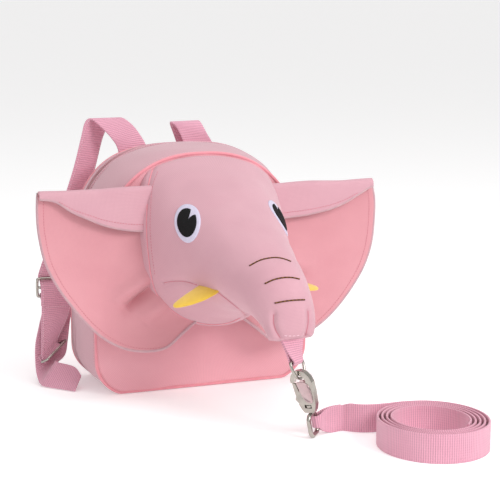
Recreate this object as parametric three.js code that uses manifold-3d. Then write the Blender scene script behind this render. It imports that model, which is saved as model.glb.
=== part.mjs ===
// A toddler harness backpack with a stuffed elephant face, two webbing shoulder straps
// and a clipped-on leash.
// Millimetres, +Z up. The bag stands on z = 0 with its bottom centre at the origin, and its front faces -Y.
import * as THREE from "three";
import { mergeVertices } from "three/addons/utils/BufferGeometryUtils.js";
import Module from "manifold-3d";

const wasm = await Module();
wasm.setup();

// Driving sizes of the bag
const bagWidth = 211;
const bagHeight = 225;
const bagDepth = 84;
const cornerRadius = 34;
const archStart = 90;
const archRoundFront = 2.4;
const archRoundBack = 3;
const clothWall = 2;
const pieceGap = 0.3;
const pipingRadius = 1.6;
const pipingLift = 0.5;
const frontCrown = 6;
const backCrown = 3;
const sideBulge = 5;
const zipFrontShare = 0.68;
const zipWidth = 13;
const zipCoilWidth = 4;
const zipCoilHeight = 1.6;
const zipEndHeight = 78;
const zipSliderHeight = 104;
const zipSliderLean = -3;

// Driving sizes of the face
const faceShift = 3.5;
const headReach = 187;
const headHalfWidth = 71;
const trunkSwing = 14;
const earSpan = 331;
const earTop = 198;
const rightEarDrop = 3.5;
const earThickness = 2.6;
const earFoldRadius = 3.4;
const earFlapLength = 36;
const eyeWidth = 30;
const eyeHeight = 36;
const pupilWidth = 22.5;
const pupilHeight = 27;
const eyeThickness = 1;
const eyeShear = 0.33;
const eyeAcross = 88;
const eyeUp = 172.5;
const tuskThickness = 5;
const tuskWidth = 24;
const tuskBow = 0.08;
const earCup = 8;
const glintAngle = 1.0;
const glintHalfAngle = 0.35;
const glintDepth = 0.12;

// Driving sizes of the webbing and the metal pieces
const strapWidth = 30;
const leashWidth = 25;
const leashThickness = 1.8;
const webThickness = 1.7;
const tabWidth = 21;
const tabTurn = 36;
const dRingWidth = 21;
const dRingWire = 1.3;
const sliderLength = 38;
const sliderHeight = 20;
const sliderWire = 1.4;
const stripRingLength = 34;
const stripRingHeight = 15;
const stripRingWire = 1.3;
const coilCentre = [113.5, -295];
const coilRadiusAcross = 48;
const coilRadiusDeep = 53;
const coilTurns = 4.4;
const coilPitch = 3.9;

const halfWidth = bagWidth / 2;
const frontFace = -bagDepth / 2;
const backFace = bagDepth / 2;

const vec = (x, y, z) => new THREE.Vector3(x, y, z);
const mix = (a, b, t) => a + (b - a) * t;
const alongLine = (from, direction, distance) => from.clone().addScaledVector(direction, distance);

// Geometry helpers

// Turns a closed triangle soup the right way out.
function facingOut(positions, triangles) {
  let volume = 0;
  for (const [a, b, c] of triangles) {
    volume += positions[a].dot(positions[b].clone().cross(positions[c]));
  }
  const turned = volume < 0 ? triangles.map(([a, b, c]) => [a, c, b]) : triangles;
  const geometry = new THREE.BufferGeometry();
  const numbers = positions.flatMap((p) => p.toArray());
  geometry.setAttribute("position", new THREE.Float32BufferAttribute(numbers, 3));
  geometry.setIndex(turned.flat());
  return geometry;
}

// A closed solid between rings of equal length, with flat ends made as a fan round each end's centre.
function loft(rings) {
  const count = rings[0].length;
  const positions = rings.flat();
  const triangles = [];
  for (let i = 0; i + 1 < rings.length; i += 1) {
    for (let j = 0; j < count; j += 1) {
      const a = i * count + j;
      const b = i * count + ((j + 1) % count);
      triangles.push([a, b, b + count], [a, b + count, a + count]);
    }
  }
  for (const end of [0, rings.length - 1]) {
    const ring = rings[end];
    const centre = ring.reduce((sum, p) => sum.add(p), vec(0, 0, 0)).divideScalar(count);
    const c = positions.push(centre) - 1;
    for (let j = 0; j < count; j += 1) {
      const a = end * count + j;
      const b = end * count + ((j + 1) % count);
      triangles.push(end === 0 ? [c, b, a] : [c, a, b]);
    }
  }
  return facingOut(positions, triangles);
}

// A closed solid from the front points and the back points of a sheet, both as rows of equal length.
function sheet(front, back) {
  const rows = front.length;
  const cols = front[0].length;
  const positions = [...front.flat(), ...back.flat()];
  const half = rows * cols;
  const triangles = [];
  const quad = (a, b, c, d) => triangles.push([a, b, c], [a, c, d]);
  for (let i = 0; i + 1 < rows; i += 1) {
    for (let j = 0; j + 1 < cols; j += 1) {
      const a = i * cols + j;
      quad(a, a + 1, a + cols + 1, a + cols);
      quad(half + a, half + a + cols, half + a + cols + 1, half + a + 1);
    }
  }
  for (let j = 0; j + 1 < cols; j += 1) {
    const last = (rows - 1) * cols + j;
    quad(j + 1, j, half + j, half + j + 1);
    quad(last, last + 1, half + last + 1, half + last);
  }
  for (let i = 0; i + 1 < rows; i += 1) {
    const a = i * cols;
    const b = i * cols + cols - 1;
    quad(a, a + cols, half + a + cols, half + a);
    quad(b + cols, b, half + b, half + b + cols);
  }
  return facingOut(positions, triangles);
}

// A flat disc-like solid: rings of points from the rim to a centre point, on two faces.
function disc(frontRings, frontCentre, backRings, backCentre) {
  const count = frontRings[0].length;
  const rings = [...frontRings.slice().reverse(), ...backRings];
  const positions = [...rings.flat(), frontCentre, backCentre];
  const triangles = [];
  for (let i = 0; i + 1 < rings.length; i += 1) {
    for (let j = 0; j < count; j += 1) {
      const a = i * count + j;
      const b = i * count + ((j + 1) % count);
      triangles.push([a, b, b + count], [a, b + count, a + count]);
    }
  }
  const last = (rings.length - 1) * count;
  for (let j = 0; j < count; j += 1) {
    const next = (j + 1) % count;
    triangles.push([positions.length - 2, next, j]);
    triangles.push([positions.length - 1, last + j, last + next]);
  }
  return facingOut(positions, triangles);
}

// A strip of webbing through stations { at, half, thick }: its middle, and its half width as a vector.
function webbing(stations, thickness = webThickness) {
  const rings = stations.map(({ at, half }, i) => {
    const before = stations[Math.max(0, i - 1)].at;
    const after = stations[Math.min(stations.length - 1, i + 1)].at;
    const along = after.clone().sub(before).normalize();
    const normal = along.clone().cross(half).normalize().multiplyScalar(thickness / 2);
    return [
      at.clone().add(half).add(normal),
      at.clone().sub(half).add(normal),
      at.clone().sub(half).sub(normal),
      at.clone().add(half).sub(normal),
    ];
  });
  return loft(rings);
}

// A round wire along a closed curve.
function wireLoop(points, radius, sides = 6) {
  const curve = new THREE.CatmullRomCurve3(points, true, "catmullrom", 0.5);
  const steps = points.length * 2;
  const frames = curve.computeFrenetFrames(steps, true);
  const positions = [];
  const triangles = [];
  for (let i = 0; i < steps; i += 1) {
    const at = curve.getPointAt(i / steps);
    for (let j = 0; j < sides; j += 1) {
      const angle = (2 * Math.PI * j) / sides;
      positions.push(
        at
          .clone()
          .addScaledVector(frames.normals[i], Math.cos(angle) * radius)
          .addScaledVector(frames.binormals[i], Math.sin(angle) * radius),
      );
    }
  }
  for (let i = 0; i < steps; i += 1) {
    const next = ((i + 1) % steps) * sides;
    for (let j = 0; j < sides; j += 1) {
      const a = i * sides + j;
      const b = i * sides + ((j + 1) % sides);
      const c = next + ((j + 1) % sides);
      const d = next + j;
      triangles.push([a, b, c], [a, c, d]);
    }
  }
  return facingOut(positions, triangles);
}

function toSolid(geometry) {
  const bare = new THREE.BufferGeometry();
  bare.setAttribute("position", geometry.getAttribute("position"));
  if (geometry.index) {
    bare.setIndex(geometry.index);
  }
  const merged = mergeVertices(bare, 1e-4);
  return new wasm.Manifold(
    new wasm.Mesh({
      numProp: 3,
      vertProperties: new Float32Array(merged.getAttribute("position").array),
      triVerts: new Uint32Array(merged.index.array),
    }),
  );
}

function toGeometry(solid) {
  const mesh = solid.getMesh();
  const geometry = new THREE.BufferGeometry();
  geometry.setAttribute("position", new THREE.BufferAttribute(mesh.vertProperties, 3));
  geometry.setIndex(new THREE.BufferAttribute(mesh.triVerts, 1));
  return geometry;
}

// The largest piece of a cut, so that no loose sliver stays beside it.
function largest(solid) {
  return solid.decompose().reduce((best, one) => (one.volume() > best.volume() ? one : best));
}

const cut = (geometry, ...cutters) =>
  toGeometry(largest(cutters.reduce((solid, cutter) => solid.subtract(toSolid(cutter)), toSolid(geometry))));

// The bag

// The panel's outline at depth y, from 0 at the bottom's middle, round by the +X side and the arch, to 1.
function outlinePoint(share, y) {
  const round = mix(archRoundFront, archRoundBack, (y - frontFace) / bagDepth);
  const turned = share - Math.floor(share);
  const mirrored = turned > 0.5;
  const t = mirrored ? 1 - turned : turned;
  const bottomEnd = 0.12;
  const cornerEnd = 0.2;
  const sideEnd = 0.26;
  let x = 0;
  let z = 0;
  if (t < bottomEnd) {
    x = mix(0, halfWidth - cornerRadius, t / bottomEnd);
  } else if (t < cornerEnd) {
    const angle = ((t - bottomEnd) / (cornerEnd - bottomEnd)) * (Math.PI / 2);
    x = halfWidth - cornerRadius + cornerRadius * Math.sin(angle);
    z = cornerRadius - cornerRadius * Math.cos(angle);
  } else if (t < sideEnd) {
    x = halfWidth;
    z = mix(cornerRadius, archStart, (t - cornerEnd) / (sideEnd - cornerEnd));
  } else {
    const angle = ((t - sideEnd) / (0.5 - sideEnd)) * (Math.PI / 2);
    x = halfWidth * Math.cos(angle) ** (2 / round);
    z = archStart + (bagHeight - archStart) * Math.sin(angle) ** (2 / round);
  }
  return vec(mirrored ? -x : x, y, z);
}

// The same outline moved outward by a distance, with the side's soft bulge between the seams.
function sidePoint(share, y, outward) {
  const step = 0.004;
  const here = outlinePoint(share, y);
  const before = outlinePoint(share - step, y);
  const after = outlinePoint(share + step, y);
  const along = after.sub(before).normalize();
  const across = vec(along.z, 0, -along.x);
  const bow = sideBulge * (1 - (y / backFace) ** 2) * Math.min(1, here.z / cornerRadius);
  return here.addScaledVector(across, outward + bow);
}

// The share of the outline that reaches a height on the +X side.
function shareAtHeight(height) {
  let low = 0.12;
  let high = 0.5;
  for (let i = 0; i < 40; i += 1) {
    const middle = (low + high) / 2;
    if (outlinePoint(middle, 0).z < height) {
      low = middle;
    } else {
      high = middle;
    }
  }
  return low;
}

function outlineShares(from, to, steps) {
  return Array.from({ length: steps + 1 }, (_, i) => mix(from, to, i / steps));
}

// A wall that follows the outline between two depths and between two shares of the outline.
function sideWall(yFrom, yTo, shareFrom, shareTo, steps, rows, outward = 0, wall = clothWall) {
  const shares = outlineShares(shareFrom, shareTo, steps);
  const depths = Array.from({ length: rows + 1 }, (_, i) => mix(yFrom, yTo, i / rows));
  const outer = depths.map((y) => shares.map((s) => sidePoint(s, y, outward)));
  const inner = depths.map((y) => shares.map((s) => sidePoint(s, y, outward - wall)));
  return sheet(outer, inner);
}

const panelInset = (pipingRadius + pieceGap) / halfWidth;
const panelShares = outlineShares(0, 1, 44).slice(0, -1);

// A crowned panel: face is where its rim's outer side lies, side is -1 towards the front
// and 1 towards the back.
function panel(face, side, crown, inset, depth, lift = 0) {
  const centre = vec(0, face, bagHeight / 2);
  const ringShares = [1, 0.84, 0.62, 0.34];
  const lowest = inset > 0 ? 2 * pipingRadius + 2 * pipingLift + 4 * pieceGap : 0;
  const place = (share, ring, y) => {
    const rim = outlinePoint(share, face);
    const spot = centre.clone().lerp(rim, ring * (1 - inset));
    spot.z = Math.max(spot.z, lowest);
    spot.y = y + side * (crown * (1 - ring * ring) + lift);
    return spot;
  };
  const outer = ringShares.map((ring) => panelShares.map((s) => place(s, ring, face)));
  const innerFace = face - side * (depth + lift);
  const inner = ringShares.map((ring) => panelShares.map((s) => place(s, ring, innerFace)));
  const outerCentre = vec(0, face + side * (crown + lift), centre.z);
  const innerCentre = vec(0, face + side * (crown - depth), centre.z);
  return disc(outer, outerCentre, inner, innerCentre);
}

const frontPanel = panel(frontFace, -1, frontCrown, panelInset, clothWall);
const backPanel = panel(backFace, 1, backCrown, 0, clothWall);
const frontPanelClear = panel(frontFace, -1, frontCrown, panelInset / 2, bagDepth / 2, pieceGap);

const wallFront = frontFace + pipingRadius + pieceGap;
const wallBack = backFace - clothWall - pieceGap;
const zipFront = frontFace + bagDepth * zipFrontShare;
const zipBack = zipFront + zipWidth;
const zipMiddle = (zipFront + zipBack) / 2;
const archShare = shareAtHeight(zipEndHeight);

const bagBase = sideWall(wallFront, wallBack, -archShare, archShare, 26, 4);
const gussetFront = sideWall(wallFront, zipFront, archShare + 0.002, 1 - archShare - 0.002, 26, 3);
const gussetBack = sideWall(zipBack, wallBack, archShare + 0.002, 1 - archShare - 0.002, 26, 2);
const zipTape = sideWall(
  zipFront + pieceGap,
  zipBack - pieceGap,
  archShare + 0.002,
  1 - archShare - 0.002,
  26,
  1,
  -0.6,
  1.2,
);
const zipCoil = sideWall(
  zipMiddle - zipCoilWidth / 2,
  zipMiddle + zipCoilWidth / 2,
  archShare + 0.004,
  1 - archShare - 0.004,
  26,
  1,
  zipCoilHeight - 0.6 + pieceGap,
  zipCoilHeight,
);
// One plain slider with its pull, near the zip's lower end on the +X side.
const zipSliderSpot = sidePoint(shareAtHeight(zipSliderHeight), zipMiddle, zipCoilHeight + pieceGap);
const boxAt = (width, depth, height, x, y, z) =>
  new wasm.Manifold.cube([width, depth, height], true).translate([x, y, z]);
const zipSlider = toGeometry(
  boxAt(3, 8, 11, 1.7, 0, 0)
    .add(boxAt(1.2, 6, 24, 3.4, 0, -9))
    .rotate([0, zipSliderLean, 0])
    .translate([zipSliderSpot.x, zipSliderSpot.y, zipSliderSpot.z]),
);
const piping = wireLoop(
  outlineShares(0, 1, 26)
    .slice(0, -1)
    .map((s) => {
      const spot = outlinePoint(s, frontFace);
      spot.z = Math.max(spot.z, pipingRadius + pipingLift);
      return spot;
    }),
  pipingRadius,
);

// The face

// Sections from the bag's front to the trunk's tip. out and lowOut: how far ahead of the bag
// the section's top and bottom lie, in shares of headReach. top and low: their heights, in shares
// of bagHeight. half: half the width in shares of headHalfWidth. swing: the trunk's lean to one
// side in shares of trunkSwing. crown and jaw: how full the
// upper and the lower corners are, 1 for an ellipse and less for fuller ones.
const headSections = [
  { out: 0.0, lowOut: 0.0, top: 1.0, low: 0.36, half: 0.97, swing: 0, crown: 0.62, jaw: 0.95 },
  { out: 0.05, lowOut: 0.07, top: 0.985, low: 0.305, half: 1.0, swing: 0, crown: 0.66, jaw: 0.95 },
  { out: 0.18, lowOut: 0.17, top: 0.94, low: 0.295, half: 0.95, swing: 0, crown: 0.76, jaw: 0.95 },
  { out: 0.36, lowOut: 0.26, top: 0.875, low: 0.315, half: 0.84, swing: 0.04, crown: 0.86, jaw: 0.98 },
  { out: 0.53, lowOut: 0.35, top: 0.808, low: 0.355, half: 0.71, swing: 0.12, crown: 0.95, jaw: 1 },
  { out: 0.69, lowOut: 0.46, top: 0.742, low: 0.395, half: 0.59, swing: 0.27, crown: 1, jaw: 1 },
  { out: 0.83, lowOut: 0.58, top: 0.675, low: 0.415, half: 0.49, swing: 0.48, crown: 1, jaw: 1 },
  { out: 0.93, lowOut: 0.69, top: 0.605, low: 0.42, half: 0.42, swing: 0.7, crown: 1, jaw: 1 },
  { out: 0.98, lowOut: 0.77, top: 0.525, low: 0.41, half: 0.37, swing: 0.9, crown: 1, jaw: 1 },
  { out: 1.0, lowOut: 0.83, top: 0.45, low: 0.395, half: 0.33, swing: 1, crown: 1, jaw: 1 },
  { out: 0.995, lowOut: 0.87, top: 0.395, low: 0.38, half: 0.3, swing: 1, crown: 1, jaw: 1 },
  { out: 0.96, lowOut: 0.9, top: 0.374, low: 0.37, half: 0.28, swing: 1, crown: 0.9, jaw: 0.9 },
];
const lastSection = headSections.length - 1;

// One value of a table of sections, smoothly between its rows.
function tableValue(table, name, row) {
  const last = table.length - 1;
  const i = Math.min(last - 1, Math.floor(row));
  const t = row - i;
  const at = (k) => table[Math.max(0, Math.min(last, k))][name];
  const [a, b, c, d] = [at(i - 1), at(i), at(i + 1), at(i + 2)];
  return b + 0.5 * t * (c - a + t * (2 * a - 5 * b + 4 * c - d + t * (3 * (b - c) + d - a)));
}

// A point of the face's surface: row along the sections, angle round the section from the +X side upward.
function headPoint(row, angle, outward = 0) {
  const value = (name) => tableValue(headSections, name, row);
  const top = vec(0, frontFace - headReach * value("out"), bagHeight * value("top"));
  const low = vec(0, frontFace - headReach * value("lowOut"), bagHeight * value("low"));
  const upward = top.clone().sub(low);
  const fullness = Math.sin(angle) > 0 ? value("crown") : value("jaw");
  const across = Math.sign(Math.cos(angle)) * Math.abs(Math.cos(angle)) ** fullness;
  const raised = Math.sign(Math.sin(angle)) * Math.abs(Math.sin(angle)) ** fullness;
  const spot = low.addScaledVector(upward, (1 + raised) / 2);
  spot.x = faceShift + trunkSwing * value("swing") + across * (headHalfWidth * value("half") + outward);
  return spot.addScaledVector(upward.normalize(), raised * outward);
}

function headGeometry(rowSteps, turnSteps, outward = 0) {
  const rings = [];
  for (let i = 0; i <= rowSteps; i += 1) {
    const row = (lastSection * i) / rowSteps;
    rings.push(
      Array.from({ length: turnSteps }, (_, j) => headPoint(row, (2 * Math.PI * j) / turnSteps, outward)),
    );
  }
  return loft(rings);
}

// The space inside the piped seam, as far ahead as the trunk reaches.
const seamSpace = loft(
  [frontFace + bagDepth / 4, frontFace - headReach * 1.2].map((y) =>
    panelShares.map((s) => {
      const spot = outlinePoint(s, frontFace);
      spot.lerp(vec(0, frontFace, bagHeight / 2), panelInset * 1.3);
      spot.y = y;
      return spot;
    }),
  ),
);
const headRows = 22;
const headTurns = 28;
const headRaw = headGeometry(headRows, headTurns);
const headClear = headGeometry(headRows, headTurns, pieceGap);
const head = toGeometry(
  largest(toSolid(headRaw).intersect(toSolid(seamSpace)).subtract(toSolid(frontPanelClear))),
);
const headProbe = new THREE.Mesh(headRaw, new THREE.MeshBasicMaterial());

// Where a line from a point along a direction first meets the face, with the surface's normal there.
function onHead(from, direction) {
  const hits = new THREE.Raycaster(from, direction.clone().normalize()).intersectObject(headProbe);
  return { at: hits[0].point, normal: hits[0].face.normal };
}

// A sheet with its thickness laid on both sides of a grid of middle points.
function thickened(grid, thickness) {
  const rows = grid.length;
  const cols = grid[0].length;
  const shifted = (side) =>
    grid.map((row, i) =>
      row.map((point, j) => {
        const down = grid[Math.min(rows - 1, i + 1)][j].clone().sub(grid[Math.max(0, i - 1)][j]);
        const along = row[Math.min(cols - 1, j + 1)].clone().sub(row[Math.max(0, j - 1)]);
        const normal = along.cross(down).normalize();
        return point.clone().addScaledVector(normal, (side * thickness) / 2);
      }),
    );
  return sheet(shifted(1), shifted(-1));
}

// The ears

// The ear from its top fold to its lowest lobe. seam: the edge sewn to the face. edge: the free edge. Both are
// across, in shares of half the ear span, out, in shares of headReach ahead of the bag, and
// up, in shares of
// earTop. edgeRight: the right ear's free edge, which hangs a little wider.
const earRows = [
  { seam: 0.34, seamOut: 0.04, seamUp: 1.0, edge: 0.995, edgeRight: 0.995, edgeOut: 0.06, edgeUp: 1.0 },
  { seam: 0.37, seamOut: 0.05, seamUp: 0.915, edge: 1.0, edgeRight: 1.02, edgeOut: 0.06, edgeUp: 0.905 },
  { seam: 0.4, seamOut: 0.07, seamUp: 0.825, edge: 0.99, edgeRight: 1.02, edgeOut: 0.06, edgeUp: 0.79 },
  { seam: 0.41, seamOut: 0.09, seamUp: 0.735, edge: 0.96, edgeRight: 1.0, edgeOut: 0.065, edgeUp: 0.67 },
  { seam: 0.41, seamOut: 0.11, seamUp: 0.66, edge: 0.9, edgeRight: 0.95, edgeOut: 0.075, edgeUp: 0.565 },
  { seam: 0.39, seamOut: 0.13, seamUp: 0.595, edge: 0.82, edgeRight: 0.87, edgeOut: 0.085, edgeUp: 0.465 },
  { seam: 0.36, seamOut: 0.145, seamUp: 0.54, edge: 0.73, edgeRight: 0.77, edgeOut: 0.095, edgeUp: 0.37 },
  { seam: 0.325, seamOut: 0.16, seamUp: 0.495, edge: 0.635, edgeRight: 0.66, edgeOut: 0.11, edgeUp: 0.3 },
  { seam: 0.285, seamOut: 0.17, seamUp: 0.455, edge: 0.53, edgeRight: 0.54, edgeOut: 0.13, edgeUp: 0.255 },
  { seam: 0.24, seamOut: 0.18, seamUp: 0.425, edge: 0.42, edgeRight: 0.43, edgeOut: 0.15, edgeUp: 0.24 },
  { seam: 0.2, seamOut: 0.19, seamUp: 0.4, edge: 0.32, edgeRight: 0.32, edgeOut: 0.175, edgeUp: 0.255 },
  { seam: 0.17, seamOut: 0.195, seamUp: 0.39, edge: 0.235, edgeRight: 0.235, edgeOut: 0.185, edgeUp: 0.31 },
];
// How far the folded flap hangs down in front along the top edge, in shares of earFlapLength, from seam to tip.
const earFlap = [
  { left: 1.0, right: 0.8 },
  { left: 1.0, right: 0.8 },
  { left: 0.97, right: 0.77 },
  { left: 0.9, right: 0.74 },
  { left: 0.78, right: 0.68 },
  { left: 0.6, right: 0.6 },
  { left: 0.4, right: 0.46 },
  { left: 0.13, right: 0.25 },
  { left: 0.05, right: 0.06 },
];

function earGrid(side) {
  const columns = 11;
  const flapRows = 3;
  const foldRows = 4;
  const edgeName = side > 0 ? "edgeRight" : "edge";
  const flapName = side > 0 ? "right" : "left";
  const halfSpan = earSpan / 2;
  const ahead = earThickness / 2 + pieceGap + pipingRadius;
  const top = side > 0 ? earTop - rightEarDrop : earTop;
  const place = (across, out, up) =>
    vec(faceShift + side * halfSpan * across, frontFace - ahead - headReach * out, top * up);
  const mainPoint = (row, u) => {
    const value = (name) => tableValue(earRows, name, row);
    const seam = place(value("seam") - 0.05, value("seamOut"), value("seamUp"));
    const edge = place(value(edgeName), value("edgeOut"), value("edgeUp"));
    const spot = seam.lerp(edge, u);
    const cupped = Math.sin(Math.PI * u) * Math.sin((Math.PI * row) / (earRows.length - 1));
    spot.y += cupped * earCup;
    return spot;
  };
  const grid = [];
  const last = earRows.length - 1;
  const us = Array.from({ length: columns }, (_, j) => j / (columns - 1));
  const foldTop = (u) => mainPoint(0, u);
  const hang = (u) => earFlapLength * Math.max(0.03, tableValue(earFlap, flapName, u * (earFlap.length - 1)));
  for (let i = 0; i < flapRows; i += 1) {
    const share = 1 - i / flapRows;
    grid.push(
      us.map((u) => {
        const drop = hang(u) * share;
        return foldTop(u).add(vec(0, -2 * earFoldRadius - drop * 0.12, -earFoldRadius - drop));
      }),
    );
  }
  for (let i = 0; i <= foldRows; i += 1) {
    const angle = (Math.PI * i) / foldRows;
    grid.push(
      us.map((u) =>
        foldTop(u).add(
          vec(0, -earFoldRadius - earFoldRadius * Math.cos(angle), earFoldRadius * (Math.sin(angle) - 1)),
        ),
      ),
    );
  }
  const bodyRows = 11;
  for (let i = 1; i <= bodyRows; i += 1) {
    const row = (last * i) / bodyRows;
    grid.push(us.map((u) => mainPoint(row, u)));
  }
  return grid;
}

const ear = (side) => cut(thickened(earGrid(side), earThickness), headClear);

// The eyes: layers that follow the face, a white one and the pupil on it with a wedge left open for the glint

function eyeLayer(side, width, height, lift, notched) {
  const spot = vec(faceShift + (side * eyeAcross) / 2, frontFace - headReach * 2, eyeUp);
  const centre = onHead(spot, vec(0, 1, 0));
  const sideways = vec(0, 0, 1).cross(centre.normal).normalize();
  const upward = centre.normal.clone().cross(sideways).normalize();
  upward.addScaledVector(sideways, side * eyeShear);
  const steps = 16;
  const radiusShare = (angle) => {
    const turn = Math.abs(angle - glintAngle);
    return notched && turn < glintHalfAngle ? mix(glintDepth, 1, turn / glintHalfAngle) : 1;
  };
  const place = (ring, j, raise) => {
    const angle = (2 * Math.PI * j) / steps;
    const reach = ring * radiusShare(angle);
    const from = centre.at
      .clone()
      .addScaledVector(sideways, (Math.cos(angle) * reach * width) / 2)
      .addScaledVector(upward, (Math.sin(angle) * reach * height) / 2);
    const seat = onHead(from.addScaledVector(centre.normal, eyeHeight), centre.normal.clone().negate());
    return seat.at.addScaledVector(centre.normal, raise);
  };
  const oneRing = (ring, raise) => Array.from({ length: steps }, (_, j) => place(ring, j, raise));
  const rings = (raise) => [1, 0.66, 0.33].map((ring) => oneRing(ring, raise));
  const bottom = lift + pieceGap * 1.6;
  const top = bottom + eyeThickness;
  return disc(rings(top), place(0, 0, top), rings(bottom), place(0, 0, bottom));
}

// The tusks

// A tusk from its root to its blunt tip: width in shares of tuskWidth, thick in shares of tuskThickness.
const tuskSections = [
  { along: 0, width: 0.8, thick: 0.8 },
  { along: 0.2, width: 1, thick: 1 },
  { along: 0.45, width: 0.95, thick: 1 },
  { along: 0.7, width: 0.72, thick: 0.95 },
  { along: 0.88, width: 0.45, thick: 0.8 },
  { along: 1, width: 0.16, thick: 0.5 },
];

function tusk(root, tip, broadWay) {
  const along = tip.clone().sub(root);
  const across = broadWay.clone().cross(along).normalize();
  const broad = along.clone().cross(across).normalize();
  const rings = tuskSections.map(({ along: share, width, thick }) => {
    const middle = root.clone().addScaledVector(along, share);
    middle.addScaledVector(broad, tuskWidth * tuskBow * Math.sin(Math.PI * share));
    return Array.from({ length: 10 }, (_, j) => {
      const angle = (2 * Math.PI * j) / 10;
      return middle
        .clone()
        .addScaledVector(across, (Math.cos(angle) * thick * tuskThickness) / 2)
        .addScaledVector(broad, (Math.sin(angle) * width * tuskWidth) / 2);
    });
  });
  return cut(loft(rings), headClear);
}

// The webbing tab at the trunk's tip and its D-ring

const tabTop = vec(faceShift + trunkSwing, -219, 84.2 - pieceGap);
const barMiddle = vec(18.5, -226, 65.7);
const wireMiddle = vec(20.2, -231.2, 51.8);
const turnedAngle = (tabTurn * Math.PI) / 180;
const ringAcross = vec(Math.cos(turnedAngle), Math.sin(turnedAngle), 0);
const ringDown = wireMiddle.clone().sub(barMiddle).projectOnPlane(ringAcross).normalize();
const ringNormal = ringAcross.clone().cross(ringDown).normalize();

// The tab: a front layer down from the tip, round the ring's bar and a back layer up again.
const tabLoop = dRingWire + pieceGap + webThickness / 2;
const tabLayer = webThickness / 2 + pieceGap / 2;
const tabRise = tabTop.clone().sub(barMiddle);
function tabStation(side, share) {
  const turned = mix(turnedAngle, 0, share);
  const across = vec(Math.cos(turned), Math.sin(turned), 0);
  const outward = across.clone().cross(tabRise).normalize();
  const spread = mix(tabLoop, tabLayer, Math.min(1, share * 2.2));
  return {
    at: barMiddle.clone().addScaledVector(tabRise, share).addScaledVector(outward, side * spread),
    half: across.multiplyScalar((tabWidth / 2) * mix(0.66, 1, share)),
  };
}
const tabTurnStations = [-60, -20, 20, 60].map((degrees) => {
  const angle = (degrees * Math.PI) / 180;
  const outward = ringAcross.clone().cross(tabRise).normalize();
  return {
    at: barMiddle
      .clone()
      .addScaledVector(tabRise.clone().normalize(), -tabLoop * Math.cos(angle))
      .addScaledVector(outward, -tabLoop * Math.sin(angle)),
    half: ringAcross.clone().multiplyScalar((tabWidth / 2) * 0.66),
  };
});
const tabShares = [1, 0.75, 0.5, 0.3, 0.12, 0];
const trunkTab = cut(
  webbing([
    ...tabShares.map((share) => tabStation(1, share)),
    ...tabTurnStations,
    ...tabShares.toReversed().map((share) => tabStation(-1, share)),
  ]),
  headClear,
);

// A D-shaped ring: a straight bar along across and a rounded bow below it.
const dRing = wireLoop(
  [
    [-0.5, 0.02],
    [-0.25, 0],
    [0, 0],
    [0.25, 0],
    [0.5, 0.02],
    [0.5, 0.45],
    [0.34, 0.86],
    [0, 1],
    [-0.34, 0.86],
    [-0.5, 0.45],
  ].map(([across, down]) =>
    barMiddle
      .clone()
      .addScaledVector(ringAcross, across * (dRingWidth - 2 * dRingWire))
      .addScaledVector(ringDown, down * barMiddle.distanceTo(wireMiddle)),
  ),
  dRingWire,
);

// The swivel hook, drawn in its own plane: s across, u up its axis, n through its thickness

const hookNeck = vec(28.6, -235, 22.3);
const hookLean = 0.19;
const hookUp = vec(-Math.sin(hookLean), 0, Math.cos(hookLean));
const hookAcross = vec(0.582, -0.814, 0).projectOnPlane(hookUp).normalize();
const hookThrough = hookAcross.clone().cross(hookUp);
const hookFrame = new THREE.Matrix4().makeBasis(hookAcross, hookUp, hookThrough).setPosition(hookNeck);
const inHookFrame = (solid) => toGeometry(solid.transform(hookFrame.elements));
const plate = (outline, thickness) =>
  new wasm.CrossSection([outline], "NonZero").extrude(thickness).translate([0, 0, -thickness / 2]);
const pinAt = (s, u, radius, length) =>
  wasm.Manifold.cylinder(length, radius, radius, 20, true).translate([s, u, 0]);
// A cylinder up the hook's axis.
const postAt = (from, to, radius) =>
  wasm.Manifold.cylinder(to - from, radius, radius, 20).rotate([-90, 0, 0]).translate([0, from, 0]);

const hookOutline = [
  [4.5, 0], [6.5, 3], [8, 8], [8.2, 20], [7.6, 28], [5.5, 33], [1.5, 37], [-3.5, 38.5], [-8.5, 37.4],
  [-12.2, 34], [-14, 29.5], [-13.6, 27], [-11, 26.5], [-10, 29.5], [-8, 32.5], [-4.5, 34], [-1, 33],
  [1.2, 30], [1.8, 26], [0.5, 23.5], [-2, 22], [-6.5, 20.5], [-7.2, 14], [-8.8, 11], [-8.8, 7], [-6.8, 3],
  [-4.5, 0],
];
const gateSlot = [[-16, 5.6], [-16, 27.2], [0, 27.2], [0, 22], [-3.7, 9], [-4.2, 5.6]];
const gateOutline = [
  [-6.8, 7.2], [-9.6, 7.6], [-12.6, 11.2], [-11.4, 14], [-13.4, 26.2], [-10.4, 25.8], [-8.4, 20], [-5, 10.6],
];
const hookThickness = 5;
const gateThickness = 2.2;
const slotWidth = 3;
const pivot = [-6.2, 9];
const pivotRadius = 1.1;
const gateBoss = 2.2;
const gateBore = 1.4;
const postRadius = 2;
const headRadius = 2.9;
const windowBottom = 4.2;
const windowTop = 7.4;
const windowHalf = 3.4;

const hookWindow = [
  [-windowHalf, windowBottom], [windowHalf, windowBottom], [windowHalf, windowTop],
  [-windowHalf, windowTop],
];

const hookBody = inHookFrame(
  plate(hookOutline, hookThickness)
    .subtract(plate(gateSlot, slotWidth))
    .subtract(postAt(-1, windowBottom + 0.1, postRadius + pieceGap))
    .subtract(plate(hookWindow, hookThickness + 1))
    .add(pinAt(...pivot, pivotRadius, hookThickness - 0.5)),
);
const hookGate = inHookFrame(
  plate(gateOutline, gateThickness)
    .add(pinAt(...pivot, gateBoss, gateThickness))
    .subtract(pinAt(...pivot, gateBore, gateThickness + 1)),
);

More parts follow.
